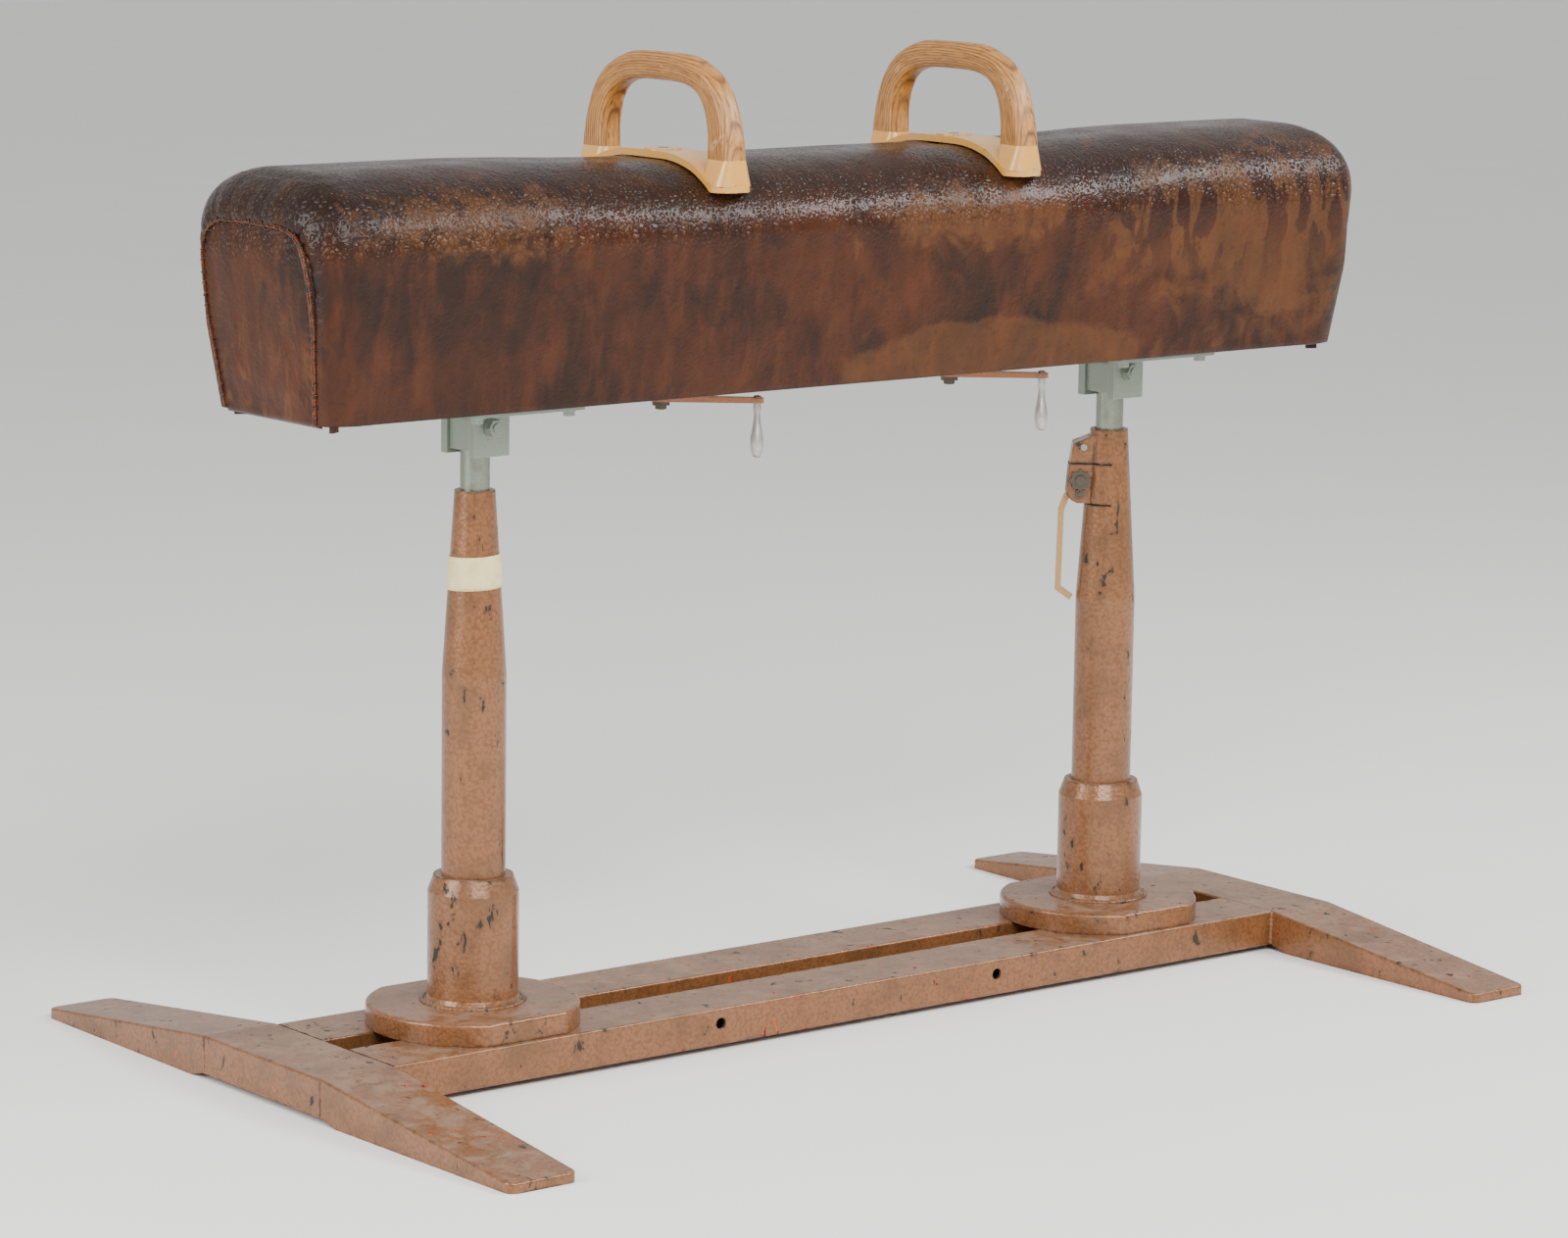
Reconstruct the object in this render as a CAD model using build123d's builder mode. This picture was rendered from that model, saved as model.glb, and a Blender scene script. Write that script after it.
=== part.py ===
"""Vaulting and pommel horse on a slotted floor frame.

Origin: centre of the footprint, on the floor. +X runs along the horse, +Y to its far side, +Z up.
"""
from build123d import *
import math
import os

# ---------------------------------------------------------------- driving dimensions, millimetres
RUN_GAP = 0.3            # clearance between faces of two bodies that slide on each other
SHAFT_FIT = 0.06         # radial clearance of a shaft that turns or slides in its hole

# floor frame
RAIL_TOP = 52.4
RAIL_LIFT = 7.0          # the middle of the frame stands this far off the floor
RAIL_OUTER_Y = 122.0
SLOT_HALF = 25.5
RAIL_WALL = 4.0
RAIL_EDGE_R = 3.0
TROLLEY_HOLE_X = 218.0
TROLLEY_HOLE_Z = 33.7
TROLLEY_HOLE_R = 7.0
FOOT_INNER_X = 690.0
FOOT_OUTER_X = 792.0
FOOT_HALF_Y = 485.0
FOOT_MID_HALF_Y = 124.0  # the level middle of a foot
FOOT_FLOOR_Y = 152.0     # from here outward the arm lies on the floor
FOOT_TIP_H = 12.0
FOOT_TIP_INSET = 5.0     # the arm narrows by this much on each side at its tip
FOOT_WALL = 5.0
FOOT_SIDE_WALL = 9.0
FOOT_TIP_R = 12.0
TIE_X = 645.0
TIE_Z = 10.0
TIE_T = 6.0

# posts
POST_X = 495.0
DISC_R = 127.0
DISC_T = 26.5
DISC_FLAT_Y = 115.0
DISC_EDGE_R = 5.0
SOCKET_R = 54.0
SOCKET_TOP_R = 47.0
SOCKET_TOP = 231.0
SOCKET_SHOULDER = 212.0
SOCKET_WELD = 8.0
POST_R = 38.0
POST_TOP_R = 24.0
POST_TAPER_Z = 470.0
POST_TOP = 687.0
POST_WALL = 4.0
POST_GUIDE_Z = 560.0     # from here up the post's bore guides the column
KEY_HALF_X = 40.0
KEY_BOTTOM = 9.0
CLAMP_PLATE_X = 90.0
CLAMP_PLATE_Y = 120.0
CLAMP_PLATE_Z = 1.4
CLAMP_PLATE_T = 5.0
ANCHOR_R = 9.0
ANCHOR_NUT_AF = 30.0
ANCHOR_NUT_T = 12.0

# column clamp on each post; u is the distance out from the post's axis
CLAMP_ANGLE = {"left": 51.0, "right": 141.0}
SLIT_T = 2.0
SLIT_LOW_Z = 591.0
SLIT_HIGH_Z = 643.0
SLIT_PAST = 3.0
HOUSING_HALF_W = 18.0
HOUSING_OUT_TOP = 46.0
HOUSING_OUT_LOW = 50.0
HOUSING_PEAK_U = 8.0
HOUSING_PEAK_Z = 684.0
HOUSING_SHOULDER_Z = 669.0
CHEEK_OUT = 54.0
CHEEK_GAP_HALF = 6.3
PIVOT_U = 36.4
PIVOT_Z = 622.0
# the hanging lever's line: distance out from the pivot, and down from it
LEVER_ROUTE = ((0.0, 0.0), (17.0, 24.0), (23.0, 41.0), (25.0, 142.0), (8.0, 154.0))
PIVOT_R = 4.0
LEVER_HUB_R = 6.6
LEVER_HALF_W = 6.0
LEVER_T = 7.5
STAR_R = 11.8
STAR_LOBES = 8
STAR_LOBE_R = 2.4
STAR_T = 5.0
STAR_HEX_AF = 12.0
STAR_HEX_T = 4.0
TAB_Z = 605.0
TAB_R = 5.6
RIVET_U = 32.6
RIVET_Z = 670.0
RIVET_R = 4.0
TAPE_LOW = 572.0
TAPE_HIGH = 611.0
TAPE_T = 0.5
TAPE_OPEN_HALF = 22.0    # half-width of the gap in the tape behind the post

# columns and brackets
COLUMN_R = 17.5
COLUMN_BORE_R = 13.5
COLUMN_BOTTOM = 130.0
COLUMN_TOP = 735.0
RIGHT_COLUMN_PLAY = 1.0  # the right column shifts a little in its post while the horse tilts
HEAD_X = 42.0
HEAD_HALF_Y = 21.4
HEAD_TOP = 781.0
BOLT_Z = 763.0
BOLT_R = 6.0
BOLT_HEAD_AF = 19.0
BOLT_HEAD_T = 8.0
WASHER_R = 12.0
WASHER_T = 2.0
EAR_X = 49.0
EAR_BOTTOM = 729.0
EAR_INNER_Y = 22.0
EAR_T = 12.0
BRACKET_WEB_T = 4.0
PLATE_X = 160.0
PLATE_Y = 220.0
PLATE_T = 6.0
PLATE_BOLT_X = 65.0
PLATE_BOLT_Y = 95.0
PLATE_BOLT_R = 4.0
PLATE_BOLT_AF = 13.0
PLATE_BOLT_HEAD_T = 6.0
PLATE_BOLT_WASHER_T = 1.6
PLATE_BOLT_REACH = 45.0

# horse body, measured on the outside of its leather
BODY_BOTTOM = 793.0
CROWN = 1063.0
CROWN_DROP = 80.0        # height of the rounding under the crown
CROWN_RUN_Y = 117.0      # width of that rounding on the long sides
CROWN_RUN_X = 55.0       # and on the ends
BODY_HALF_X = 800.0
BODY_HALF_X_BOTTOM = 777.0
BODY_HALF_Y = 147.4
BODY_HALF_Y_BOTTOM = 121.4
BODY_CORNER_R = 32.0
CROWN_STEPS = 8
LEATHER_T = 4.0
PAD_T = 12.0
BOARD_T = 10.0
PANEL_HALF_Y = 107.0
PANEL_HALF_Y_BOTTOM = 91.0
PANEL_BOTTOM = 797.0
PANEL_TOP = 1011.0
PANEL_CORNER_R = 36.0
END_DEPTH = 60.0         # how far in from its end the block for a panel reaches
THONG_X = 755.0
THONG_Y = 96.0

# pommels
POMMEL_X = 225.0
POMMEL_TRAVEL = 20.0
GRIP_TOP = 1186.0
GRIP_HALF_X = 16.0
GRIP_EDGE_R = 12.5
GRIP_OUTER_Y = 146.0
GRIP_INNER_Y = 98.0
GRIP_JOINT_Z = 1068.0
GRIP_UNDER_Z = 1153.0
# points round the bow: distance across the horse, and height over the joint
GRIP_OUTSIDE = ((139.5, 36.0), (125.0, 72.0), (101.0, 98.0), (68.0, 113.0))
GRIP_INSIDE = ((48.0, 83.0), (76.0, 73.0), (92.0, 52.0), (98.0, 26.0))
GRIP_LEAN = (-0.12, 1.0)   # direction in which the outside leaves the joint
SADDLE_HALF_X = 27.0
SADDLE_HALF_Y = 150.0
SADDLE_T = 9.0
SADDLE_GAP = 0.6
SADDLE_LIP_Z = 1031.0
CUP_DROP = 30.0          # the cups' height
CUP_MARGIN = 7.0         # how much wider across the horse a cup is at its foot
CUP_FOOT_R = 20.0
CUP_INSET = 1.5          # from a cup's foot to the saddle's edge
BOSS_T = 1.5
BOSS_R = 22.0
SPINDLE_R = 7.0
SPINDLE_BOTTOM = 762.0
SLOT_WALL = 3.0
SLOT_PLAY = 0.6

# cranks
CRANK_ANGLE = -41.0
CRANK_REACH = 115.0
CRANK_ARM_Z = 772.0
CRANK_ARM_T = 6.0
CRANK_ARM_HUB_R = 13.0
CRANK_ARM_END_R = 8.0
CRANK_NUT_AF = 20.0
CRANK_NUT_BOTTOM = 767.0
BULB_PIN_R = 3.5
BULB_LENGTH = 66.0
# the grip's radius, and depth under the arm
BULB_PROFILE = ((4.6, 3.0), (3.9, 14.0), (5.6, 30.0), (8.0, 48.0), (6.2, 61.0))
BULB_RIVET = ((0.0, 2.5), (3.0, 2.5), (5.0, 1.0), (5.0, 0.0))  # radius, and height over the arm

SIDES = {"left": -1, "right": 1}

os.makedirs("parts", exist_ok=True)


def save(piece, label):
    """Label one finished sub-part and write it."""
    piece.part.label = label
    export_step(piece.part, f"parts/{label}.step")


# ---------------------------------------------------------------- floor frame
def rail(side):
    """One of the two long box rails; side is -1 at the front and 1 at the rear."""
    width = RAIL_OUTER_Y - SLOT_HALF
    height = RAIL_TOP - RAIL_LIFT
    centre = (side * (RAIL_OUTER_Y + SLOT_HALF) / 2, (RAIL_TOP + RAIL_LIFT) / 2)
    with BuildPart() as piece:
        with BuildSketch(Plane.YZ.offset(-FOOT_INNER_X)):
            with Locations(centre):
                RectangleRounded(width, height, RAIL_EDGE_R)
                Rectangle(width - 2 * RAIL_WALL, height - 2 * RAIL_WALL, mode=Mode.SUBTRACT)
        extrude(amount=2 * FOOT_INNER_X)
        with BuildSketch(Plane.XZ.offset(-side * RAIL_OUTER_Y)):
            with Locations((-TROLLEY_HOLE_X, TROLLEY_HOLE_Z), (TROLLEY_HOLE_X, TROLLEY_HOLE_Z)):
                Circle(TROLLEY_HOLE_R)
        extrude(amount=side * 2 * RAIL_WALL, mode=Mode.SUBTRACT)
    return piece


def foot(side):
    """A cross foot: level and raised in the middle, with arms that taper down to the floor."""
    half = [(0, RAIL_LIFT), (FOOT_MID_HALF_Y, RAIL_LIFT), (FOOT_FLOOR_Y, 0), (FOOT_HALF_Y, 0),
            (FOOT_HALF_Y, FOOT_TIP_H), (FOOT_MID_HALF_Y, RAIL_TOP), (0, RAIL_TOP)]
    outline = half + [(-y, z) for y, z in reversed(half[1:-1])]
    start = FOOT_INNER_X if side > 0 else -FOOT_OUTER_X
    width = FOOT_OUTER_X - FOOT_INNER_X
    tip_in = side * (FOOT_INNER_X + FOOT_TIP_INSET)
    tip_out = side * (FOOT_OUTER_X - FOOT_TIP_INSET)
    with BuildPart() as piece:
        with BuildSketch(Plane.YZ.offset(start)):
            Polygon(*outline, align=None)
        extrude(amount=width)
        with BuildSketch():
            with BuildLine():
                Polyline((side * FOOT_INNER_X, -FOOT_MID_HALF_Y), (tip_in, -FOOT_HALF_Y),
                         (tip_out, -FOOT_HALF_Y), (side * FOOT_OUTER_X, -FOOT_MID_HALF_Y),
                         (side * FOOT_OUTER_X, FOOT_MID_HALF_Y), (tip_out, FOOT_HALF_Y),
                         (tip_in, FOOT_HALF_Y), (side * FOOT_INNER_X, FOOT_MID_HALF_Y), close=True)
            make_face()
        extrude(amount=RAIL_TOP, mode=Mode.INTERSECT)
        tips = piece.edges().filter_by(Axis.Z).filter_by(lambda e: abs(e.center().Y) > FOOT_HALF_Y - 1)
        fillet(tips, FOOT_TIP_R)
        sky = piece.faces().filter_by(lambda f: f.normal_at().Z > 0.5)
        fillet(sky.edges(), RAIL_EDGE_R)
        with BuildSketch(Plane.YZ.offset(start + FOOT_SIDE_WALL)):
            Polygon(*outline, align=None)
            offset(amount=-FOOT_WALL, kind=Kind.INTERSECTION, mode=Mode.REPLACE)
        extrude(amount=width - 2 * FOOT_SIDE_WALL, mode=Mode.SUBTRACT)
    return piece


def slot_tie(side):
    """The plate that ties the rails together at the outer end of the slot."""
    length = FOOT_INNER_X - TIE_X
    with BuildPart() as piece:
        with BuildSketch(Plane.XY.offset(TIE_Z)):
            with Locations((side * (TIE_X + length / 2), 0)):
                Rectangle(length, 2 * SLOT_HALF)
        extrude(amount=TIE_T)
    return piece


# ---------------------------------------------------------------- posts
DISC_BOTTOM = RAIL_TOP + RUN_GAP
DISC_TOP = DISC_BOTTOM + DISC_T


def base_disc(side):
    """The round plate with two flats that the post stands on."""
    with BuildPart() as piece:
        with BuildSketch(Plane.XY.offset(DISC_BOTTOM)):
            with Locations((side * POST_X, 0)):
                Circle(DISC_R)
                Rectangle(2 * DISC_R, 2 * DISC_FLAT_Y, mode=Mode.INTERSECT)
        extrude(amount=DISC_T)
        fillet(piece.faces().sort_by(Axis.Z)[-1].edges(), DISC_EDGE_R)
        with BuildSketch(Plane.XY.offset(DISC_BOTTOM)):
            with Locations((side * POST_X, 0)):
                Circle(ANCHOR_R)
        extrude(amount=DISC_T, mode=Mode.SUBTRACT)
    return piece


def turned(x, points):
    """A piece turned about the vertical line at x; points are (radius, height)."""
    with BuildPart() as piece:
        with BuildSketch(Plane.XZ):
            with Locations((x, 0)):
                Polygon(*points, align=None)
        revolve(axis=Axis((x, 0, 0), (0, 0, 1)))
    return piece


def socket(side):
    """The short heavy tube that is welded to the disc and holds the post."""
    return turned(side * POST_X, [
        (POST_R, DISC_TOP), (SOCKET_R + SOCKET_WELD, DISC_TOP),
        (SOCKET_R + SOCKET_WELD / 4, DISC_TOP + SOCKET_WELD / 3),
        (SOCKET_R, DISC_TOP + SOCKET_WELD), (SOCKET_R, SOCKET_SHOULDER),
        (SOCKET_TOP_R, SOCKET_TOP), (POST_R, SOCKET_TOP)])


def post_radius(z):
    """Outer radius of a post at height z."""
    taper = max(0.0, z - POST_TAPER_Z) / (POST_TOP - POST_TAPER_Z)
    return POST_R - (POST_R - POST_TOP_R) * taper


def guide_radius(side):
    """Radius of the bore that guides the column of this post."""
    return COLUMN_R + (RIGHT_COLUMN_PLAY if side > 0 else SHAFT_FIT)


def clamp_plane(name):
    """Upright plane through the post's axis: local x points out along the clamp, local y is up."""
    angle = math.radians(CLAMP_ANGLE[name])
    out = Vector(math.cos(angle), math.sin(angle), 0)
    return Plane(origin=(SIDES[name] * POST_X, 0, 0), x_dir=out, z_dir=Vector(out.Y, -out.X, 0))


def post(name):
    """The tapered upright tube, with two saw slits beside its clamp."""
    side = SIDES[name]
    bore = guide_radius(side)
    inner = POST_R - POST_WALL
    with BuildPart() as piece:
        add(turned(side * POST_X, [
            (inner, DISC_TOP), (POST_R, DISC_TOP), (POST_R, POST_TAPER_Z), (POST_TOP_R, POST_TOP),
            (bore, POST_TOP), (bore, POST_GUIDE_Z), (inner, POST_TAPER_Z)]))
        for z in (SLIT_LOW_Z, SLIT_HIGH_Z):
            with BuildSketch(clamp_plane(name)):
                with Locations((POST_R / 2 - SLIT_PAST, z)):
                    Rectangle(POST_R, SLIT_T)
            extrude(amount=POST_R, both=True, mode=Mode.SUBTRACT)
    return piece


def slot_key(side):
    """The block under the disc that runs in the slot."""
    with BuildPart() as piece:
        with BuildSketch(Plane.XY.offset(KEY_BOTTOM)):
            with Locations((side * POST_X, 0)):
                Rectangle(2 * KEY_HALF_X, 2 * (SLOT_HALF - RUN_GAP))
                Circle(ANCHOR_R, mode=Mode.SUBTRACT)
        extrude(amount=DISC_BOTTOM - KEY_BOTTOM)
    return piece


def clamp_plate(side):
    """The plate under the rails that the anchor bolt pulls up against."""
    with BuildPart() as piece:
        with BuildSketch(Plane.XY.offset(CLAMP_PLATE_Z)):
            with Locations((side * POST_X, 0)):
                Rectangle(CLAMP_PLATE_X, CLAMP_PLATE_Y)
                Circle(ANCHOR_R, mode=Mode.SUBTRACT)
        extrude(amount=CLAMP_PLATE_T)
        with BuildSketch(Plane.XY.offset(CLAMP_PLATE_Z + CLAMP_PLATE_T)):
            with Locations((side * POST_X, 0)):
                Rectangle(2 * KEY_HALF_X, 2 * (SLOT_HALF - RUN_GAP))
                Circle(ANCHOR_R, mode=Mode.SUBTRACT)
        extrude(amount=KEY_BOTTOM - CLAMP_PLATE_Z - CLAMP_PLATE_T)
    return piece


def anchor_bolt(side):
    """The bolt up the middle that draws disc, key and clamp plate together."""
    with BuildPart() as piece:
        with BuildSketch(Plane.XY.offset(CLAMP_PLATE_Z)):
            with Locations((side * POST_X, 0)):
                Circle(ANCHOR_R)
        extrude(amount=DISC_TOP - CLAMP_PLATE_Z + ANCHOR_NUT_T)
        with BuildSketch(Plane.XY.offset(DISC_TOP)):
            with Locations((side * POST_X, 0)):
                RegularPolygon(ANCHOR_NUT_AF / 2, 6, major_radius=False)
        extrude(amount=ANCHOR_NUT_T)
    return piece


def post_blank(name):
    """The solid outside shape of a post, to trim what is welded onto it."""
    return turned(SIDES[name] * POST_X, [
        (0, DISC_TOP), (POST_R, DISC_TOP), (POST_R, POST_TAPER_Z), (POST_TOP_R, POST_TOP), (0, POST_TOP)])


def clamp_housing(name):
    """The sloped cap and the two cheeks below it, welded to the post."""
    plane = clamp_plane(name)
    cap_low = SLIT_HIGH_Z + SLIT_T / 2
    cheek_high = SLIT_HIGH_Z - SLIT_T / 2
    cheek_low = SLIT_LOW_Z + SLIT_T / 2
    with BuildPart() as piece:
        with BuildSketch(plane):
            Polygon((HOUSING_PEAK_U, cap_low), (HOUSING_OUT_LOW, cap_low),
                    (HOUSING_OUT_TOP, HOUSING_SHOULDER_Z), (HOUSING_PEAK_U, HOUSING_PEAK_Z), align=None)
        extrude(amount=HOUSING_HALF_W, both=True)
        with BuildSketch(plane):
            Polygon((HOUSING_PEAK_U, cheek_high), (CHEEK_OUT - 3, cheek_high), (CHEEK_OUT, cheek_low + 12),
                    (CHEEK_OUT - 6, cheek_low + 4), (CHEEK_OUT - 14, cheek_low),
                    (HOUSING_PEAK_U, cheek_low), align=None)
            with Locations((PIVOT_U, PIVOT_Z)):
                Circle(PIVOT_R, mode=Mode.SUBTRACT)
        extrude(amount=HOUSING_HALF_W, both=True)
        with BuildSketch(plane):
            with Locations((CHEEK_OUT / 2, (cheek_low + cheek_high) / 2)):
                Rectangle(CHEEK_OUT + 2, cheek_high - cheek_low + 1)
        extrude(amount=CHEEK_GAP_HALF, both=True, mode=Mode.SUBTRACT)
        add(post_blank(name), mode=Mode.SUBTRACT)
    return piece


def clamp_nut(name):
    """The lever's pivot bolt, with a star nut and its locking tab on the outer cheek."""
    plane = clamp_plane(name)
    outer = plane.offset(-HOUSING_HALF_W)
    with BuildPart() as piece:
        with BuildSketch(outer):
            with Locations((PIVOT_U, PIVOT_Z)):
                Circle(STAR_R)
                with PolarLocations(STAR_R, STAR_LOBES):
                    Circle(STAR_LOBE_R)
            with Locations((PIVOT_U, TAB_Z)):
                Circle(TAB_R)
        extrude(amount=-STAR_T)
        with BuildSketch(outer.offset(-STAR_T)):
            with Locations((PIVOT_U, PIVOT_Z)):
                RegularPolygon(STAR_HEX_AF / 2, 6, major_radius=False)
            with Locations((PIVOT_U, TAB_Z)):
                Circle(TAB_R / 2)
        extrude(amount=-STAR_HEX_T)
        with BuildSketch(outer):
            with Locations((PIVOT_U, PIVOT_Z)):
                Circle(PIVOT_R)
        extrude(amount=2 * HOUSING_HALF_W)
        with BuildSketch(plane.offset(HOUSING_HALF_W)):
            with Locations((PIVOT_U, PIVOT_Z)):
                RegularPolygon(STAR_HEX_AF / 2, 6, major_radius=False)
        extrude(amount=STAR_HEX_T)
    return piece


def clamp_rivets(name):
    """The two rivet heads on the sides of the clamp's cap."""
    plane = clamp_plane(name)
    with BuildPart() as piece:
        for offset_w, direction in ((-HOUSING_HALF_W, -1), (HOUSING_HALF_W, 1)):
            with BuildSketch(plane.offset(offset_w)):
                with Locations((RIVET_U, RIVET_Z - 6)):
                    Circle(RIVET_R)
            extrude(amount=direction * RIVET_R / 2)
    return piece


def clamp_lever(name):
    """The bent flat lever that hangs from the pivot bolt between the cheeks."""
    with BuildPart() as piece:
        with BuildSketch(clamp_plane(name)):
            with BuildLine():
                route = Polyline(*[(PIVOT_U + out, PIVOT_Z - down) for out, down in LEVER_ROUTE])
            trace(route, line_width=LEVER_T)
            with Locations((PIVOT_U, PIVOT_Z)):
                Circle(LEVER_HUB_R)
                Circle(PIVOT_R + SHAFT_FIT, mode=Mode.SUBTRACT)
        extrude(amount=LEVER_HALF_W, both=True)
    return piece


def tape_label():
    """A band of paper tape round the front of the left post."""
    x = -POST_X
    low, high = post_radius(TAPE_LOW), post_radius(TAPE_HIGH)
    with BuildPart() as piece:
        add(turned(x, [(low, TAPE_LOW), (low + TAPE_T, TAPE_LOW),
                       (high + TAPE_T, TAPE_HIGH), (high, TAPE_HIGH)]))
        with BuildSketch(clamp_plane("left")):
            with Locations((POST_R / 2, (TAPE_LOW + TAPE_HIGH) / 2)):
                Rectangle(2 * POST_R, TAPE_HIGH - TAPE_LOW + 2)
        extrude(amount=TAPE_OPEN_HALF, both=True, mode=Mode.SUBTRACT)
        with BuildSketch(clamp_plane("left")):
            with Locations((POST_R, (TAPE_LOW + TAPE_HIGH) / 2)):
                Rectangle(2 * POST_R, TAPE_HIGH - TAPE_LOW + 2)
        extrude(amount=POST_R, both=True, mode=Mode.SUBTRACT)
    return piece


# ---------------------------------------------------------------- columns and brackets
def column(side):
    """The steel tube that telescopes in the post."""
    return turned(side * POST_X, [
        (COLUMN_BORE_R, COLUMN_BOTTOM), (COLUMN_R, COLUMN_BOTTOM), (COLUMN_R, COLUMN_TOP),
        (COLUMN_BORE_R, COLUMN_TOP)])


def column_head(side):
    """The block on top of a column that the pivot bolt passes through."""
    with BuildPart() as piece:
        with BuildSketch(Plane.XY.offset(COLUMN_TOP)):
            with Locations((side * POST_X, 0)):
                Rectangle(HEAD_X, 2 * HEAD_HALF_Y)
        extrude(amount=HEAD_TOP - COLUMN_TOP)
        fillet(piece.edges().filter_by(Axis.Y).group_by(Axis.Z)[-1], HEAD_X / 4)
        with BuildSketch(Plane.XZ):
            with Locations((side * POST_X, BOLT_Z)):
                Circle(BOLT_R)
        extrude(amount=HEAD_HALF_Y + 1, both=True, mode=Mode.SUBTRACT)
    return piece


def pivot_bolt(side):
    """The cross bolt through bracket and column head, with its washers and nut."""
    seat = EAR_INNER_Y + EAR_T + RUN_GAP
    with BuildPart() as piece:
        for direction in (1, -1):
            with BuildSketch(Plane.XZ):
                with Locations((side * POST_X, BOLT_Z)):
                    Circle(BOLT_R)
            extrude(amount=direction * (seat + WASHER_T + BOLT_HEAD_T + 2))
            with BuildSketch(Plane.XZ.offset(direction * seat)):
                with Locations((side * POST_X, BOLT_Z)):
                    Circle(WASHER_R)
            extrude(amount=direction * WASHER_T)
            with BuildSketch(Plane.XZ.offset(direction * (seat + WASHER_T))):
                with Locations((side * POST_X, BOLT_Z)):
                    RegularPolygon(BOLT_HEAD_AF / 2, 6, major_radius=False)
            extrude(amount=direction * BOLT_HEAD_T)
    return piece


PLATE_BOTTOM = BODY_BOTTOM - PLATE_T


def bracket(side):
    """The inverted U under the mounting plate: a web and two hanging ears."""
    outer = EAR_INNER_Y + EAR_T
    with BuildPart() as piece:
        with BuildSketch(Plane.YZ.offset(side * POST_X - EAR_X / 2)):
            with Locations((0, (EAR_BOTTOM + PLATE_BOTTOM) / 2)):
                Rectangle(2 * outer, PLATE_BOTTOM - EAR_BOTTOM)
            with Locations((0, (EAR_BOTTOM + PLATE_BOTTOM - BRACKET_WEB_T) / 2)):
                Rectangle(2 * EAR_INNER_Y, PLATE_BOTTOM - BRACKET_WEB_T - EAR_BOTTOM, mode=Mode.SUBTRACT)
        extrude(amount=EAR_X)
        with BuildSketch(Plane.XZ):
            with Locations((side * POST_X, BOLT_Z)):
                Circle(BOLT_R + SHAFT_FIT)
        extrude(amount=outer + 1, both=True, mode=Mode.SUBTRACT)
    return piece


def plate_bolt_places(side):
    """Centres of the four bolts of one mounting plate."""
    return [(side * POST_X + i * PLATE_BOLT_X, j * PLATE_BOLT_Y) for i in (-1, 1) for j in (-1, 1)]


def mounting_plate(side):
    """The flat plate that carries a bracket on the underside of the horse."""
    with BuildPart() as piece:
        with BuildSketch(Plane.XY.offset(PLATE_BOTTOM)):
            with Locations((side * POST_X, 0)):
                RectangleRounded(PLATE_X, PLATE_Y, PLATE_T)
            with Locations(*plate_bolt_places(side)):
                Circle(PLATE_BOLT_R, mode=Mode.SUBTRACT)
        extrude(amount=PLATE_T)
    return piece


def plate_bolts(side):
    """The four hex bolts of one mounting plate."""
    with BuildPart() as piece:
        with BuildSketch(Plane.XY.offset(PLATE_BOTTOM)):
            with Locations(*plate_bolt_places(side)):
                Circle(PLATE_BOLT_AF / 2 + 2)
        extrude(amount=-PLATE_BOLT_WASHER_T)
        with BuildSketch(Plane.XY.offset(PLATE_BOTTOM - PLATE_BOLT_WASHER_T)):
            with Locations(*plate_bolt_places(side)):
                RegularPolygon(PLATE_BOLT_AF / 2, 6, major_radius=False)
        extrude(amount=-PLATE_BOLT_HEAD_T)
        with BuildSketch(Plane.XY.offset(PLATE_BOTTOM)):
            with Locations(*plate_bolt_places(side)):
                Circle(PLATE_BOLT_R)
        extrude(amount=PLATE_BOLT_REACH)
    return piece


# ---------------------------------------------------------------- horse body
SHOULDER_Z = CROWN - CROWN_DROP


def body_section(height):
    """Half-length, half-width and corner radius of the leather's outside at a height."""
    if height <= SHOULDER_Z:
        rise = (height - BODY_BOTTOM) / (SHOULDER_Z - BODY_BOTTOM)
        half_x = BODY_HALF_X_BOTTOM + rise * (BODY_HALF_X - BODY_HALF_X_BOTTOM)
        half_y = BODY_HALF_Y_BOTTOM + rise * (BODY_HALF_Y - BODY_HALF_Y_BOTTOM)
        return half_x, half_y, BODY_CORNER_R
    lean = 1 - math.sqrt(max(0.0, 1 - ((height - SHOULDER_Z) / CROWN_DROP) ** 2))
    half_x = BODY_HALF_X - CROWN_RUN_X * lean
    half_y = BODY_HALF_Y - CROWN_RUN_Y * lean
    return half_x, half_y, min(BODY_CORNER_R, half_y - 2)


def crown_height(y, lift=0.0):
    """Height of the leather at distance y across the horse, over its long middle stretch."""
    flat = BODY_HALF_Y - CROWN_RUN_Y
    reach = min(1.0, max(0.0, abs(y) - flat) / CROWN_RUN_Y)
    return SHOULDER_Z + CROWN_DROP * math.sqrt(1 - reach ** 2) + lift


def body_blank(inset, bottom):
    """The horse's shape, a given depth under the leather's surface."""
    angles = [math.radians(90 * step / CROWN_STEPS) for step in range(CROWN_STEPS + 1)]
    levels = [bottom] + [SHOULDER_Z + CROWN_DROP * math.sin(angle) for angle in angles]
    with BuildPart() as piece:
        for level in levels:
            half_x, half_y, corner = body_section(level)
            drop = inset * (level - SHOULDER_Z) / CROWN_DROP if level > SHOULDER_Z else 0
            with BuildSketch(Plane.XY.offset(level - drop)):
                RectangleRounded(2 * (half_x - inset), 2 * (half_y - inset), max(2.0, corner - inset))
        loft(ruled=True)
    return piece


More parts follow.
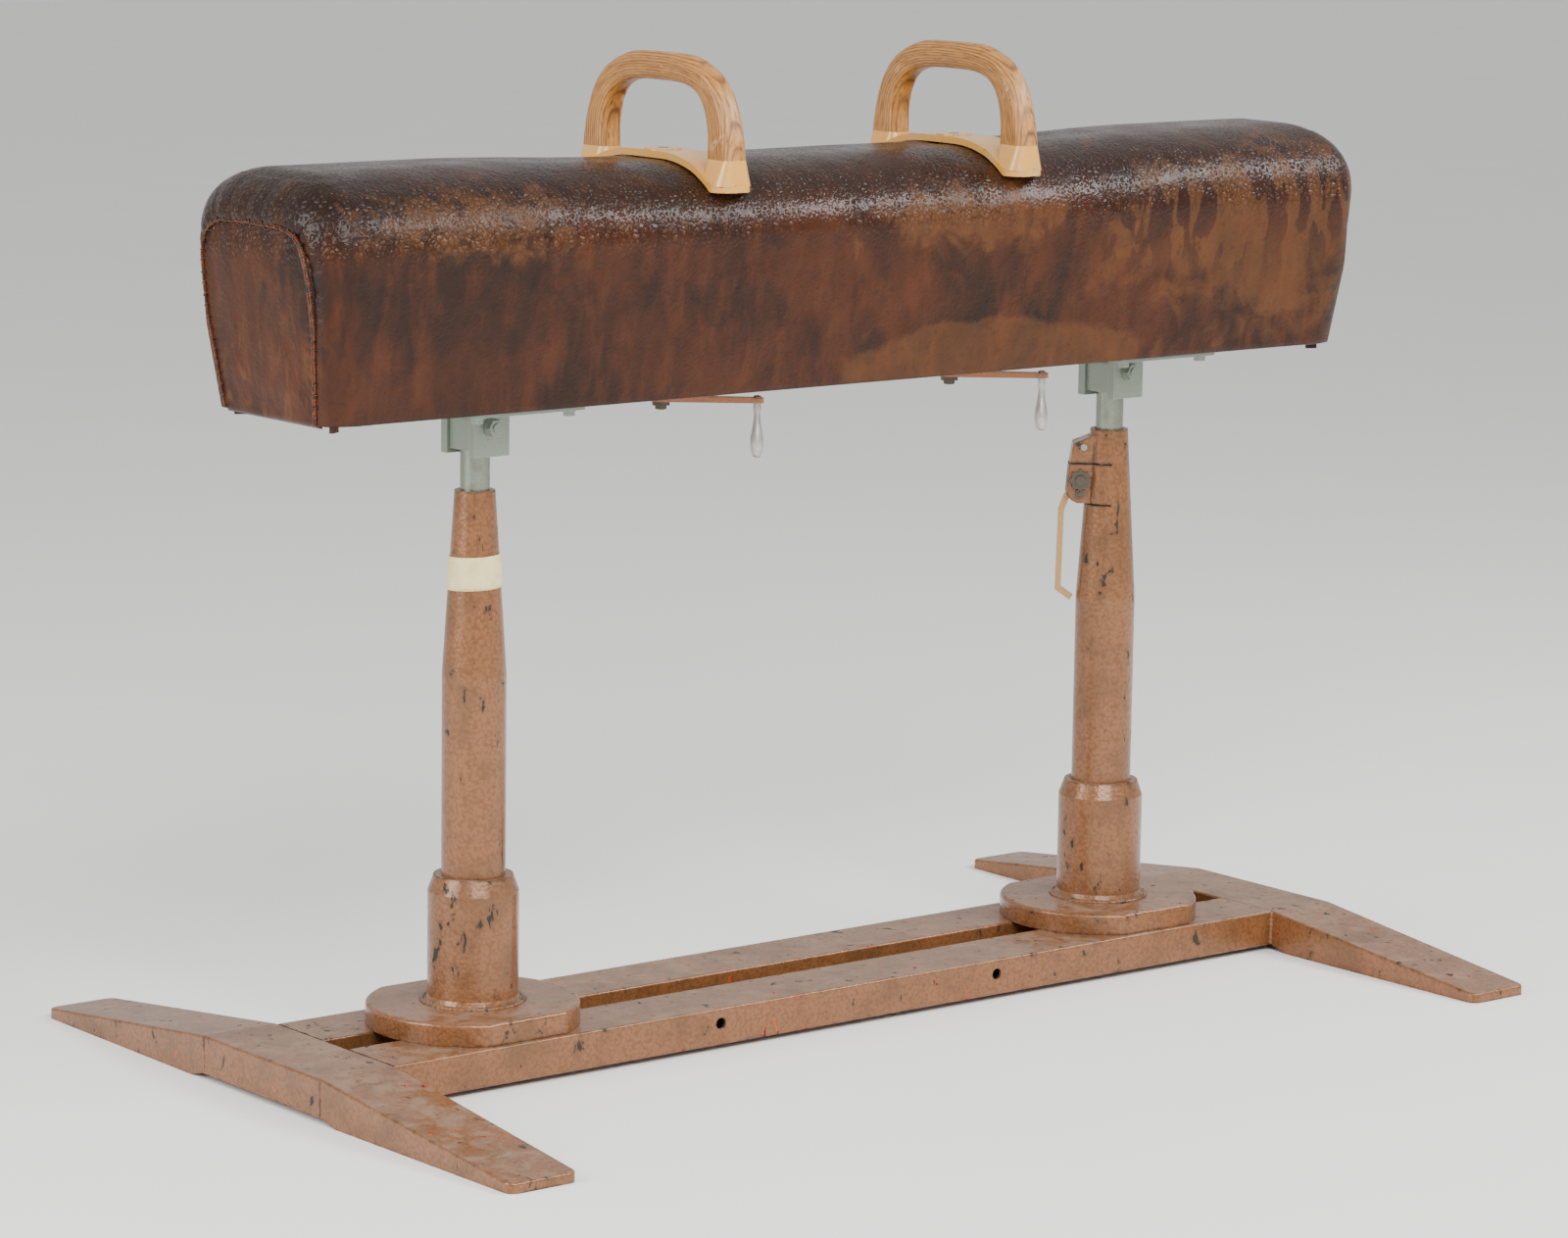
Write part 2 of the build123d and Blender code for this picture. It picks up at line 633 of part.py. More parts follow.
def spindle_slot(side, extra, bottom, top):
    """The upright slot that a pommel's spindle travels in, with a margin all round."""
    half_w = SPINDLE_R + SLOT_PLAY + extra
    near = POMMEL_X - POMMEL_TRAVEL
    with BuildPart() as piece:
        with BuildSketch(Plane.XY.offset(bottom)):
            with Locations((side * (near + POMMEL_X) / 2, 0)):
                SlotCenterToCenter(POMMEL_TRAVEL, 2 * half_w)
        extrude(amount=top - bottom)
    return piece


def cut_spindle_slots(extra):
    """Remove both spindle slots from the piece being built."""
    for side in SIDES.values():
        add(spindle_slot(side, extra, BODY_BOTTOM - 1, CROWN + 1), mode=Mode.SUBTRACT)


def end_prism(side):
    """A block through one end of the horse with the end panel's outline."""
    with BuildPart() as piece:
        with BuildSketch(Plane.YZ.offset(side * (BODY_HALF_X - END_DEPTH))):
            with BuildLine():
                Polyline((-PANEL_HALF_Y_BOTTOM, PANEL_BOTTOM), (PANEL_HALF_Y_BOTTOM, PANEL_BOTTOM),
                         (PANEL_HALF_Y, PANEL_TOP), (-PANEL_HALF_Y, PANEL_TOP), close=True)
            make_face()
            fillet(vertices().group_by(Axis.Y)[-1], PANEL_CORNER_R)
        extrude(amount=side * (END_DEPTH + RUN_GAP))
    return piece


BOARD_TOP = BODY_BOTTOM + BOARD_T


def leather_cover():
    """The leather skin: top, long sides and the rims round the end panels."""
    with BuildPart() as piece:
        add(body_blank(0, BODY_BOTTOM))
        add(body_blank(LEATHER_T, BODY_BOTTOM), mode=Mode.SUBTRACT)
        for side in SIDES.values():
            add(end_prism(side), mode=Mode.SUBTRACT)
        cut_spindle_slots(SLOT_WALL)
    return piece


def end_panel(side):
    """The leather panel sewn into one end."""
    with BuildPart() as piece:
        add(body_blank(0, BODY_BOTTOM))
        add(body_blank(LEATHER_T, BODY_BOTTOM), mode=Mode.SUBTRACT)
        add(end_prism(side), mode=Mode.INTERSECT)
    return piece


def padding():
    """The felt between the leather and the wooden core."""
    with BuildPart() as piece:
        add(body_blank(LEATHER_T, BODY_BOTTOM))
        add(body_blank(LEATHER_T + PAD_T, BODY_BOTTOM), mode=Mode.SUBTRACT)
        add(board_blank(), mode=Mode.SUBTRACT)
        cut_spindle_slots(SLOT_WALL)
    return piece


def board_blank():
    """The underside board before it is drilled."""
    half_x, half_y, corner = body_section(BODY_BOTTOM)
    with BuildPart() as piece:
        with BuildSketch(Plane.XY.offset(BODY_BOTTOM)):
            RectangleRounded(2 * (half_x - LEATHER_T), 2 * (half_y - LEATHER_T), corner - LEATHER_T)
        extrude(amount=BOARD_T)
    return piece


def plate_bolt_shanks():
    """The space that the shanks of all the plate bolts take inside the horse."""
    with BuildPart() as piece:
        with BuildSketch(Plane.XY.offset(BODY_BOTTOM)):
            with Locations(*plate_bolt_places(-1), *plate_bolt_places(1)):
                Circle(PLATE_BOLT_R)
        extrude(amount=PLATE_BOLT_REACH - PLATE_T)
    return piece


def body_core():
    """The glued wooden core."""
    with BuildPart() as piece:
        add(body_blank(LEATHER_T + PAD_T, BODY_BOTTOM))
        add(board_blank(), mode=Mode.SUBTRACT)
        cut_spindle_slots(SLOT_WALL)
        add(plate_bolt_shanks(), mode=Mode.SUBTRACT)
    return piece


def underside_board():
    """The board that closes the horse underneath."""
    with BuildPart() as piece:
        add(board_blank())
        cut_spindle_slots(SLOT_WALL)
        add(plate_bolt_shanks(), mode=Mode.SUBTRACT)
    return piece


def slot_liner(side):
    """The steel liner of a spindle slot."""
    top = CROWN - LEATHER_T
    with BuildPart() as piece:
        add(spindle_slot(side, SLOT_WALL, BODY_BOTTOM, top))
        add(spindle_slot(side, 0, BODY_BOTTOM - 1, top + 1), mode=Mode.SUBTRACT)
    return piece


def thong_ends():
    """The four short leather thong ends that stick out under the corners."""
    with BuildPart() as piece:
        for x in (-THONG_X, THONG_X):
            for y in (-THONG_Y, THONG_Y):
                with BuildSketch(Plane.XY.offset(BODY_BOTTOM)):
                    with Locations((x, y)):
                        Rectangle(14, 4, rotation=25 if x * y > 0 else -25)
                extrude(amount=-10)
    return piece


# ---------------------------------------------------------------- pommels
def grip_outline(outer_y, inner_y):
    """Face of a pommel's wooden bow in the YZ plane."""
    with BuildSketch() as face:
        with BuildLine():
            outside = [(y, GRIP_JOINT_Z + up) for y, up in GRIP_OUTSIDE]
            inside = [(y, GRIP_JOINT_Z + up) for y, up in GRIP_INSIDE]
            bend_out = Spline((outer_y, GRIP_JOINT_Z), *outside, (0, GRIP_TOP), tangents=(GRIP_LEAN, (-1, 0)))
            centre = Line(bend_out @ 1, (0, GRIP_UNDER_Z))
            bend_in = Spline(centre @ 1, *inside, (inner_y, GRIP_JOINT_Z), tangents=((1, 0), (0, -1)))
            Line(bend_in @ 1, bend_out @ 0)
        make_face()
        mirror(about=Plane.YZ)
    return face


def pommel_grip(side):
    """The bent laminated-wood bow that the gymnast holds."""
    plane = Plane(origin=(side * POMMEL_X, 0, 0), x_dir=(0, 1, 0), z_dir=(1, 0, 0))
    with BuildPart() as piece:
        with BuildSketch(plane):
            add(grip_outline(GRIP_OUTER_Y, GRIP_INNER_Y))
        extrude(amount=GRIP_HALF_X, both=True)
        rims = piece.faces().filter_by(Axis.X).edges()
        rims = rims.filter_by(lambda e: e.center().Z > GRIP_JOINT_Z + 1)
        fillet(rims, GRIP_EDGE_R)
    return piece


def saddle_line(lift):
    """Points across the horse that follow the leather at a given height above it."""
    count = 12
    ys = [SADDLE_HALF_Y * (2 * i / count - 1) for i in range(count + 1)]
    return [(y, max(crown_height(y, lift), SADDLE_LIP_Z + lift)) for y in ys]


def pommel_base(side):
    """The cast saddle: a thin plate over the crown with a raised cup for each leg of the bow."""
    x = side * POMMEL_X
    plane = Plane(origin=(x, 0, 0), x_dir=(0, 1, 0), z_dir=(1, 0, 0))
    leg_y = (GRIP_OUTER_Y + GRIP_INNER_Y) / 2
    leg_w = GRIP_OUTER_Y - GRIP_INNER_Y
    with BuildPart() as piece:
        with BuildSketch(plane):
            with BuildLine():
                low = Spline(*saddle_line(SADDLE_GAP))
                high = Spline(*saddle_line(SADDLE_T))
                Line(low @ 0, high @ 0)
                Line(low @ 1, high @ 1)
            make_face()
        extrude(amount=SADDLE_HALF_X, both=True)
        with BuildSketch(Plane.XY.offset(SADDLE_LIP_Z)):
            with Locations((x, 0)):
                SlotOverall(2 * SADDLE_HALF_Y, 2 * SADDLE_HALF_X, rotation=90)
        extrude(amount=GRIP_TOP - SADDLE_LIP_Z, mode=Mode.INTERSECT)
        for direction in (-1, 1):
            with BuildSketch(Plane.XY.offset(GRIP_JOINT_Z)):
                with Locations((x, direction * leg_y)):
                    RectangleRounded(2 * GRIP_HALF_X, leg_w, GRIP_EDGE_R)
            with BuildSketch(Plane.XY.offset(GRIP_JOINT_Z - CUP_DROP)):
                with Locations((x, direction * (SADDLE_HALF_Y - CUP_INSET - leg_w / 2 - CUP_MARGIN / 2))):
                    RectangleRounded(2 * (SADDLE_HALF_X - CUP_INSET), leg_w + CUP_MARGIN, CUP_FOOT_R)
            loft()
        add(crown_blank(x), mode=Mode.SUBTRACT)
        with BuildSketch(Plane.XY.offset(CROWN + SADDLE_T)):
            with Locations((x, 0)):
                Circle(BOSS_R)
        extrude(amount=BOSS_T)
        with BuildSketch(Plane.XY.offset(CROWN)):
            with Locations((x, 0)):
                Circle(SPINDLE_R)
        extrude(amount=SADDLE_T + BOSS_T, mode=Mode.SUBTRACT)
    return piece


def crown_blank(x):
    """A short block of the space that the leather's crown fills, with the running gap on top."""
    count = 24
    ys = [BODY_HALF_Y * (2 * i / count - 1) for i in range(count + 1)]
    top = [(y, crown_height(y, SADDLE_GAP)) for y in ys]
    plane = Plane(origin=(x, 0, 0), x_dir=(0, 1, 0), z_dir=(1, 0, 0))
    with BuildPart() as piece:
        with BuildSketch(plane):
            with BuildLine():
                arch = Spline(*top)
                Polyline(arch @ 0, (-BODY_HALF_Y, BODY_BOTTOM), (BODY_HALF_Y, BODY_BOTTOM), arch @ 1)
            make_face()
        extrude(amount=2 * SADDLE_HALF_X, both=True)
    return piece


def pommel_spindle(side):
    """The threaded rod that runs down from the saddle through the horse."""
    with BuildPart() as piece:
        with BuildSketch(Plane.XY.offset(SPINDLE_BOTTOM)):
            with Locations((side * POMMEL_X, 0)):
                Circle(SPINDLE_R)
        extrude(amount=CROWN + SADDLE_T + BOSS_T - SPINDLE_BOTTOM)
        chamfer(piece.faces().sort_by(Axis.Z)[0].edges(), 1)
    return piece


# ---------------------------------------------------------------- cranks
def crank_end(side):
    """Where the bulb grip hangs from the crank."""
    angle = math.radians(CRANK_ANGLE)
    return side * POMMEL_X + CRANK_REACH * math.cos(angle), CRANK_REACH * math.sin(angle)


def crank_nut(side):
    """The long hex nut on the spindle that the crank turns."""
    with BuildPart() as piece:
        with BuildSketch(Plane.XY.offset(CRANK_NUT_BOTTOM)):
            with Locations((side * POMMEL_X, 0)):
                RegularPolygon(CRANK_NUT_AF / 2, 6, major_radius=False)
                Circle(SPINDLE_R + SHAFT_FIT, mode=Mode.SUBTRACT)
        extrude(amount=BODY_BOTTOM - RUN_GAP - CRANK_NUT_BOTTOM)
    return piece


def crank_arm(side):
    """The flat arm between nut and bulb grip."""
    end = crank_end(side)
    with BuildPart() as piece:
        with BuildSketch(Plane.XY.offset(CRANK_ARM_Z)) as arm:
            with Locations((side * POMMEL_X, 0)):
                Circle(CRANK_ARM_HUB_R)
            with Locations(end):
                Circle(CRANK_ARM_END_R)
            make_hull()
            with Locations((side * POMMEL_X, 0)):
                RegularPolygon(CRANK_NUT_AF / 2, 6, major_radius=False, mode=Mode.SUBTRACT)
            with Locations(end):
                Circle(BULB_PIN_R + SHAFT_FIT, mode=Mode.SUBTRACT)
        extrude(amount=CRANK_ARM_T)
    return piece


def bulb_grip(side):
    """The turned steel grip that spins on its pin under the crank's end."""
    x, y = crank_end(side)
    top = CRANK_ARM_Z - RUN_GAP
    rivet = CRANK_ARM_Z + CRANK_ARM_T + RUN_GAP
    tip = top - BULB_LENGTH
    with BuildPart() as piece:
        with BuildSketch(Plane(origin=(x, y, 0), x_dir=(1, 0, 0), z_dir=(0, -1, 0))):
            with BuildLine():
                profile = [(r, top - down) for r, down in BULB_PROFILE]
                side_line = Spline(*profile, (0, tip), tangents=((0, -1), (-1, 0)))
                head = [(r, rivet + up) for r, up in BULB_RIVET]
                Polyline(side_line @ 1, *head, (BULB_PIN_R, rivet), (BULB_PIN_R, top),
                         (BULB_PROFILE[0][0], top), side_line @ 0)
            make_face()
        revolve(axis=Axis((x, y, 0), (0, 0, 1)))
    return piece


def build_all():
    """Make and write every sub-part."""
    save(rail(-1), "rail_front")
    save(rail(1), "rail_rear")
    for name, side in SIDES.items():
        save(foot(side), f"foot_{name}")
        save(slot_tie(side), f"slot_tie_{name}")
        save(base_disc(side), f"base_disc_{name}")
        save(socket(side), f"socket_{name}")
        save(post(name), f"post_{name}")
        save(slot_key(side), f"slot_key_{name}")
        save(clamp_plate(side), f"clamp_plate_{name}")
        save(anchor_bolt(side), f"anchor_bolt_{name}")
        save(clamp_housing(name), f"clamp_housing_{name}")
        save(clamp_nut(name), f"clamp_nut_{name}")
        save(clamp_rivets(name), f"clamp_rivets_{name}")
        save(clamp_lever(name), f"clamp_lever_{name}")
        save(column(side), f"column_{name}")
        save(column_head(side), f"column_head_{name}")
        save(pivot_bolt(side), f"pivot_bolt_{name}")
        save(bracket(side), f"bracket_{name}")
        save(mounting_plate(side), f"mounting_plate_{name}")
        save(plate_bolts(side), f"plate_bolts_{name}")
        save(end_panel(side), f"end_panel_{name}")
        save(slot_liner(side), f"slot_liner_{name}")
        save(pommel_grip(side), f"pommel_grip_{name}")
        save(pommel_base(side), f"pommel_base_{name}")
        save(pommel_spindle(side), f"pommel_spindle_{name}")
        save(crank_nut(side), f"crank_nut_{name}")
        save(crank_arm(side), f"crank_arm_{name}")
        save(bulb_grip(side), f"bulb_grip_{name}")
    save(tape_label(), "tape_label")
    save(leather_cover(), "leather_cover")
    save(padding(), "padding")
    save(body_core(), "body_core")
    save(underside_board(), "underside_board")
    save(thong_ends(), "thong_ends")


build_all()
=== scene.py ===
"""Looks of an old leather pommel horse, laid out as a Blender add-on and run as a script."""
import math

import bmesh
import bpy
from bpy.props import FloatProperty, FloatVectorProperty, PointerProperty
from mathutils import Matrix, Vector, noise


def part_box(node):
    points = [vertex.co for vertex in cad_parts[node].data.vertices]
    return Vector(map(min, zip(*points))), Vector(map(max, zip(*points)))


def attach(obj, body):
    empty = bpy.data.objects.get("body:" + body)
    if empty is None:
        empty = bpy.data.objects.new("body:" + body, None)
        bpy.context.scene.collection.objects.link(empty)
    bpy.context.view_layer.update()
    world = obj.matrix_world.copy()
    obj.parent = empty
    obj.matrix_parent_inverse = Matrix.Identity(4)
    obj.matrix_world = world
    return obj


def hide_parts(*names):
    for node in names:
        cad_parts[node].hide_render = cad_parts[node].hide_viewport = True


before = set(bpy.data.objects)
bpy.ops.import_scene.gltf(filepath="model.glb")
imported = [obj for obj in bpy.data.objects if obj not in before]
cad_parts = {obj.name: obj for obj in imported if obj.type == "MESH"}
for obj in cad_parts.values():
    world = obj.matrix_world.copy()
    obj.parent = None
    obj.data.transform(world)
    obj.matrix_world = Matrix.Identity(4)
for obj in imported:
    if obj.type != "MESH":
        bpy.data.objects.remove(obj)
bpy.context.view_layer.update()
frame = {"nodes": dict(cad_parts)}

bl_info = {
    "name": "Pommel horse",
    "version": (1, 0, 0),
    "blender": (4, 5, 0),
    "location": "View3D > Sidebar > Pommel horse",
    "description": "Leather, stitching, enamel, wood and steel of an old pommel horse",
    "category": "Object",
}

MM = 0.001
SEAM_STEP = 2.0 * MM  # distance between the points of a seam line
ARCH_POWER = 0.42  # how square the arch over an end panel is; 1 would be an ellipse
SIDES = {"left": -1, "right": 1}


def linear(hex_colour):
    """An sRGB hex value as linear red, green and blue."""
    channels = [int(hex_colour[i:i + 2], 16) / 255 for i in (1, 3, 5)]
    return [c / 12.92 if c <= 0.04045 else ((c + 0.055) / 1.055) ** 2.4 for c in channels]


def colour(name, description, hex_colour):
    """A colour property with its default given in hex."""
    return FloatVectorProperty(name=name, description=description, subtype="COLOR", size=3,
                               min=0.0, max=1.0, default=linear(hex_colour))


def length(name, description, millimetres):
    """A length property with its default given in millimetres."""
    return FloatProperty(name=name, description=description, unit="LENGTH", default=millimetres * MM)


def angle(name, description, degrees):
    """An angle property with its default given in degrees."""
    return FloatProperty(name=name, description=description, unit="ROTATION", default=math.radians(degrees))


def power(name, description, watts):
    """The power of a light."""
    return FloatProperty(name=name, description=description, unit="POWER", default=watts)


# ---------------------------------------------------------------- settings
class LeatherSettings(bpy.types.PropertyGroup):
    """Sizes and colours of the leather cover."""
    end_corner_x: length("End rounding", "Reach of the rounding over the ends, along the horse", 55)
    end_corner_y: length("Crown rounding", "Reach of the rounding over the long sides", 117)
    crown_drop: length("Crown drop", "Height of the rounding under the crown", 80)
    upright_corner: length("Upright corner", "Radius of the upright corners low down", 44)
    panel_half_width: length("Panel half-width", "Half the width of an end panel at its top", 107)
    panel_half_foot: length("Panel half-foot", "Half the width of an end panel at its foot", 91)
    crown_sag: length("Crown sag", "How far the ends of the crown stand above its middle", 8)
    panel_height: length("Panel top", "Height of an end panel's top over the cover's lower edge", 218)
    stitch_pitch: length("Stitch pitch", "Distance between stitches round an end panel", 13)
    gather_depth: length("Gather depth", "Depth of the creases pulled in by the stitches", 4.0)
    thread_radius: length("Thread radius", "Half the thickness of the waxed thread", 0.7)
    dark: colour("Dark hide", "The oldest, most waxed leather", "#150B07")
    middle: colour("Hide", "The leather's main red-brown", "#251106")
    warm: colour("Warm hide", "Patches where the dye has thinned", "#3E1D09")
    worn: colour("Worn hide", "Rubbed patches where the finish is gone", "#6F4622")
    thread: colour("Thread", "Waxed linen thread", "#1C110C")


class FrameSettings(bpy.types.PropertyGroup):
    """Colours of the enamelled and bare metal."""
    enamel: colour("Enamel", "Copper-brown hammered enamel", "#764A28")
    enamel_light: colour("Enamel highlight", "Raised cells of the hammered enamel", "#875A38")
    primer: colour("Primer", "Orange primer under the enamel", "#D2541C")
    chip: colour("Chip", "Bare oxidised steel in the chips", "#2E241C")
    zinc: colour("Zinc", "Dull grey-green zinc plate", "#8F9586")
    steel: colour("Steel", "Bright turned steel", "#B9B8B2")
    dark_steel: colour("Dark steel", "Oiled, browned steel", "#5B534A")
    lever: colour("Lever enamel", "Tan enamel of the clamp levers", "#A67C40")
    bead_width: length("Weld bead", "Width of the weld beads", 5)


class PommelSettings(bpy.types.PropertyGroup):
    """Colours and sizes of the pommels."""
    wood_pale: colour("Pale wood", "Early wood of the beech layers", "#C18A44")
    wood_mid: colour("Wood", "Late wood and oiled grain", "#8E5820")
    wood_dark: colour("Glue line", "Glue lines and grime in the pores", "#4A260C")
    layer: length("Layer", "Thickness of one bent wood layer", 4.0)
    cream: colour("Cream enamel", "Cream-yellow enamel of the cast saddle", "#CE9440")
    cream_worn: colour("Worn enamel", "Rubbed, greyed enamel", "#B89C6A")


class TapeSettings(bpy.types.PropertyGroup):
    """The blank paper tape on the left post."""
    paper: colour("Paper", "Aged masking tape", "#E0D29A")
    tilt: angle("Tilt", "How far the band runs off level", 3)


class StageSettings(bpy.types.PropertyGroup):
    """Camera, lights and floor."""
    eye: FloatVectorProperty(name="Eye", description="Where the camera stands", size=3, unit="LENGTH",
                             subtype="TRANSLATION", default=(-3.9981, -4.9605, 1.5766))
    heading: angle("Heading", "Camera heading, clockwise from +Y", 38.64)
    dip: angle("Dip", "How far the camera looks down", 9.71)
    roll: angle("Roll", "Camera roll", 0.81)
    focal: FloatProperty(name="Focal length", description="Lens for a 36 mm wide sensor", unit="CAMERA",
                         default=121.02)
    key: power("Key light", "Power of the large soft light", 240)
    fill: power("Fill light", "Power of the side light", 120)
    back: power("Shoulder light", "Power of the light that glints along the shoulder", 150)
    ambient: FloatProperty(name="Ambient", description="Strength of the pale surroundings", default=0.72)
    floor: colour("Floor", "Pale floor", "#F4F3F1")


class HorseSettings(bpy.types.PropertyGroup):
    """All settings of the horse."""
    leather: PointerProperty(type=LeatherSettings)
    frame: PointerProperty(type=FrameSettings)
    pommel: PointerProperty(type=PommelSettings)
    tape: PointerProperty(type=TapeSettings)
    stage: PointerProperty(type=StageSettings)


def settings():
    """The settings kept on the scene."""
    return bpy.context.scene.pommel_horse


# ---------------------------------------------------------------- small helpers
def add_node(tree, kind, links=None, **values):
    """Add a shader node; links maps an input to a value or to another node's output."""
    made = tree.nodes.new(kind)
    for key, value in values.items():
        setattr(made, key, value)
    for key, value in (links or {}).items():
        socket = made.inputs[key]
        if isinstance(value, bpy.types.NodeSocket):
            tree.links.new(value, socket)
        else:
            socket.default_value = value
    return made


def math_node(tree, operation, first, second=0.0, third=0.0, clamp=False):
    """One step of arithmetic; gives its output."""
    return add_node(tree, "ShaderNodeMath", {0: first, 1: second, 2: third}, operation=operation,
                    use_clamp=clamp).outputs[0]


def blend_colours(tree, amount, first, second):
    """Mix two colours; gives the mixed colour."""
    made = add_node(tree, "ShaderNodeMix", {0: amount, 6: first, 7: second}, data_type="RGBA")
    return made.outputs[2]


def step(tree, value, low, high):
    """0 below low and 1 above high, smooth between; low may be the larger one."""
    made = add_node(tree, "ShaderNodeMapRange", {"Value": value, "From Min": low, "From Max": high},
                    interpolation_type="SMOOTHSTEP")
    return made.outputs["Result"]


def rgba(values):
    """A property's colour with alpha."""
    return (*values, 1.0)


def new_material(name, **shader_values):
    """A material with one Principled shader; gives material, tree, shader and Object coordinates."""
    material = bpy.data.materials.new(name)
    material.use_nodes = True
    tree = material.node_tree
    tree.nodes.clear()
    shader = add_node(tree, "ShaderNodeBsdfPrincipled", shader_values)
    add_node(tree, "ShaderNodeOutputMaterial", {"Surface": shader.outputs[0]})
    place = add_node(tree, "ShaderNodeTexCoord").outputs["Object"]
    return material, tree, shader, place


def connect(tree, shader, base, normal, rough=None):
    """Link a material's colour, normal and, if it varies, roughness."""
    tree.links.new(base, shader.inputs["Base Color"])
    if rough is not None:
        tree.links.new(rough, shader.inputs["Roughness"])
    tree.links.new(normal, shader.inputs["Normal"])


def scaled(tree, place, x, y, z):
    """Coordinates stretched by three scales, each in patterns per metre."""
    return add_node(tree, "ShaderNodeMapping", {"Vector": place, "Scale": (x, y, z)}).outputs[0]


def cloud(tree, place, size_mm, detail=4.0, roughness=0.55, distortion=0.0, offset=0.0):
    """Noise whose blotches are about size_mm across."""
    moved = add_node(tree, "ShaderNodeMapping", {"Vector": place, "Location": (offset, offset, offset)})
    made = add_node(tree, "ShaderNodeTexNoise", {
        "Vector": moved.outputs[0], "Scale": 1000 / size_mm, "Detail": detail, "Roughness": roughness,
        "Distortion": distortion})
    return made.outputs["Fac"]


def cells(tree, place, size_mm, feature="F1"):
    """Distance from Voronoi cells about size_mm across."""
    made = add_node(tree, "ShaderNodeTexVoronoi", {
        "Vector": place, "Scale": 1000 / size_mm, "Randomness": 1.0}, feature=feature)
    return made.outputs["Distance"]


def warped(tree, place, size_mm, amount_mm):
    """Coordinates pushed about by noise, so that regular patterns look hand-made."""
    push = add_node(tree, "ShaderNodeTexNoise", {"Vector": place, "Scale": 1000 / size_mm, "Detail": 2.0})
    centred = add_node(tree, "ShaderNodeVectorMath", {0: push.outputs["Color"], 1: (0.5, 0.5, 0.5)},
                       operation="SUBTRACT")
    grown = add_node(tree, "ShaderNodeVectorMath", {0: centred.outputs[0], "Scale": amount_mm * MM * 2},
                     operation="SCALE")
    return add_node(tree, "ShaderNodeVectorMath", {0: place, 1: grown.outputs[0]}, operation="ADD").outputs[0]


def bump(tree, height, depth_mm, below=None):
    """A bump of the given depth on top of another; gives its normal."""
    links = {"Height": height, "Strength": 1.0, "Distance": depth_mm * MM}
    if below is not None:
        links["Normal"] = below
    return add_node(tree, "ShaderNodeBump", links).outputs[0]


def edge_wear(tree, radius_mm):
    """1 near sharp edges of the shape and 0 on its flats."""
    rounded = add_node(tree, "ShaderNodeBevel", {"Radius": radius_mm * MM}, samples=4)
    flat = add_node(tree, "ShaderNodeNewGeometry").outputs["Normal"]
    dot = add_node(tree, "ShaderNodeVectorMath", {0: rounded.outputs[0], 1: flat}, operation="DOT_PRODUCT")
    return step(tree, dot.outputs["Value"], 0.995, 0.88)


def piece_from(bm, name, body, material):
    """Turn a bmesh into a finished piece that rides on a body."""
    mesh = bpy.data.meshes.new(name)
    bm.to_mesh(mesh)
    bm.free()
    mesh.polygons.foreach_set("use_smooth", [True] * len(mesh.polygons))
    mesh.materials.append(material)
    piece = bpy.data.objects.new(name, mesh)
    bpy.context.scene.collection.objects.link(piece)
    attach(piece, body)
    return piece


def sweep(bm, rings, capped=True):
    """Skin a tube through rings of points; every ring has the same number of points."""
    count = len(rings[0])
    ring = bmesh.ops.create_circle(bm, segments=count, radius=1)["verts"]
    for vert, point in zip(ring, rings[0]):
        vert.co = point
    first = ring
    for points in rings[1:]:
        edges = [bm.edges.get((ring[i], ring[(i + 1) % count])) for i in range(count)]
        grown = bmesh.ops.extrude_edge_only(bm, edges=edges)["geom"]
        fresh = {item for item in grown if isinstance(item, bmesh.types.BMVert)}
        following = []
        for old in ring:
            following.append(next(e.other_vert(old) for e in old.link_edges if e.other_vert(old) in fresh))
        ring = following
        for vert, point in zip(ring, points):
            vert.co = point
    if capped:
        bm.faces.new(first)
        bm.faces.new(list(reversed(ring)))


def ring_round(centre, across, up, radii, count):
    """Points of an elliptical ring about centre, spanned by two directions."""
    return [centre + across * (radii[0] * math.cos(2 * math.pi * i / count))
            + up * (radii[1] * math.sin(2 * math.pi * i / count)) for i in range(count)]


def finish_mesh(bm):
    """Merge doubles and turn every face outwards."""
    bmesh.ops.remove_doubles(bm, verts=bm.verts, dist=0.00001)
    bmesh.ops.recalc_face_normals(bm, faces=bm.faces)


# ---------------------------------------------------------------- the cover's shape
def smooth(value):
    """Smooth step of a value clamped to 0..1."""
    value = min(1.0, max(0.0, value))
    return value * value * (3 - 2 * value)


def between(first, second, amount):
    """Linear blend of two numbers."""
    return first + (second - first) * amount


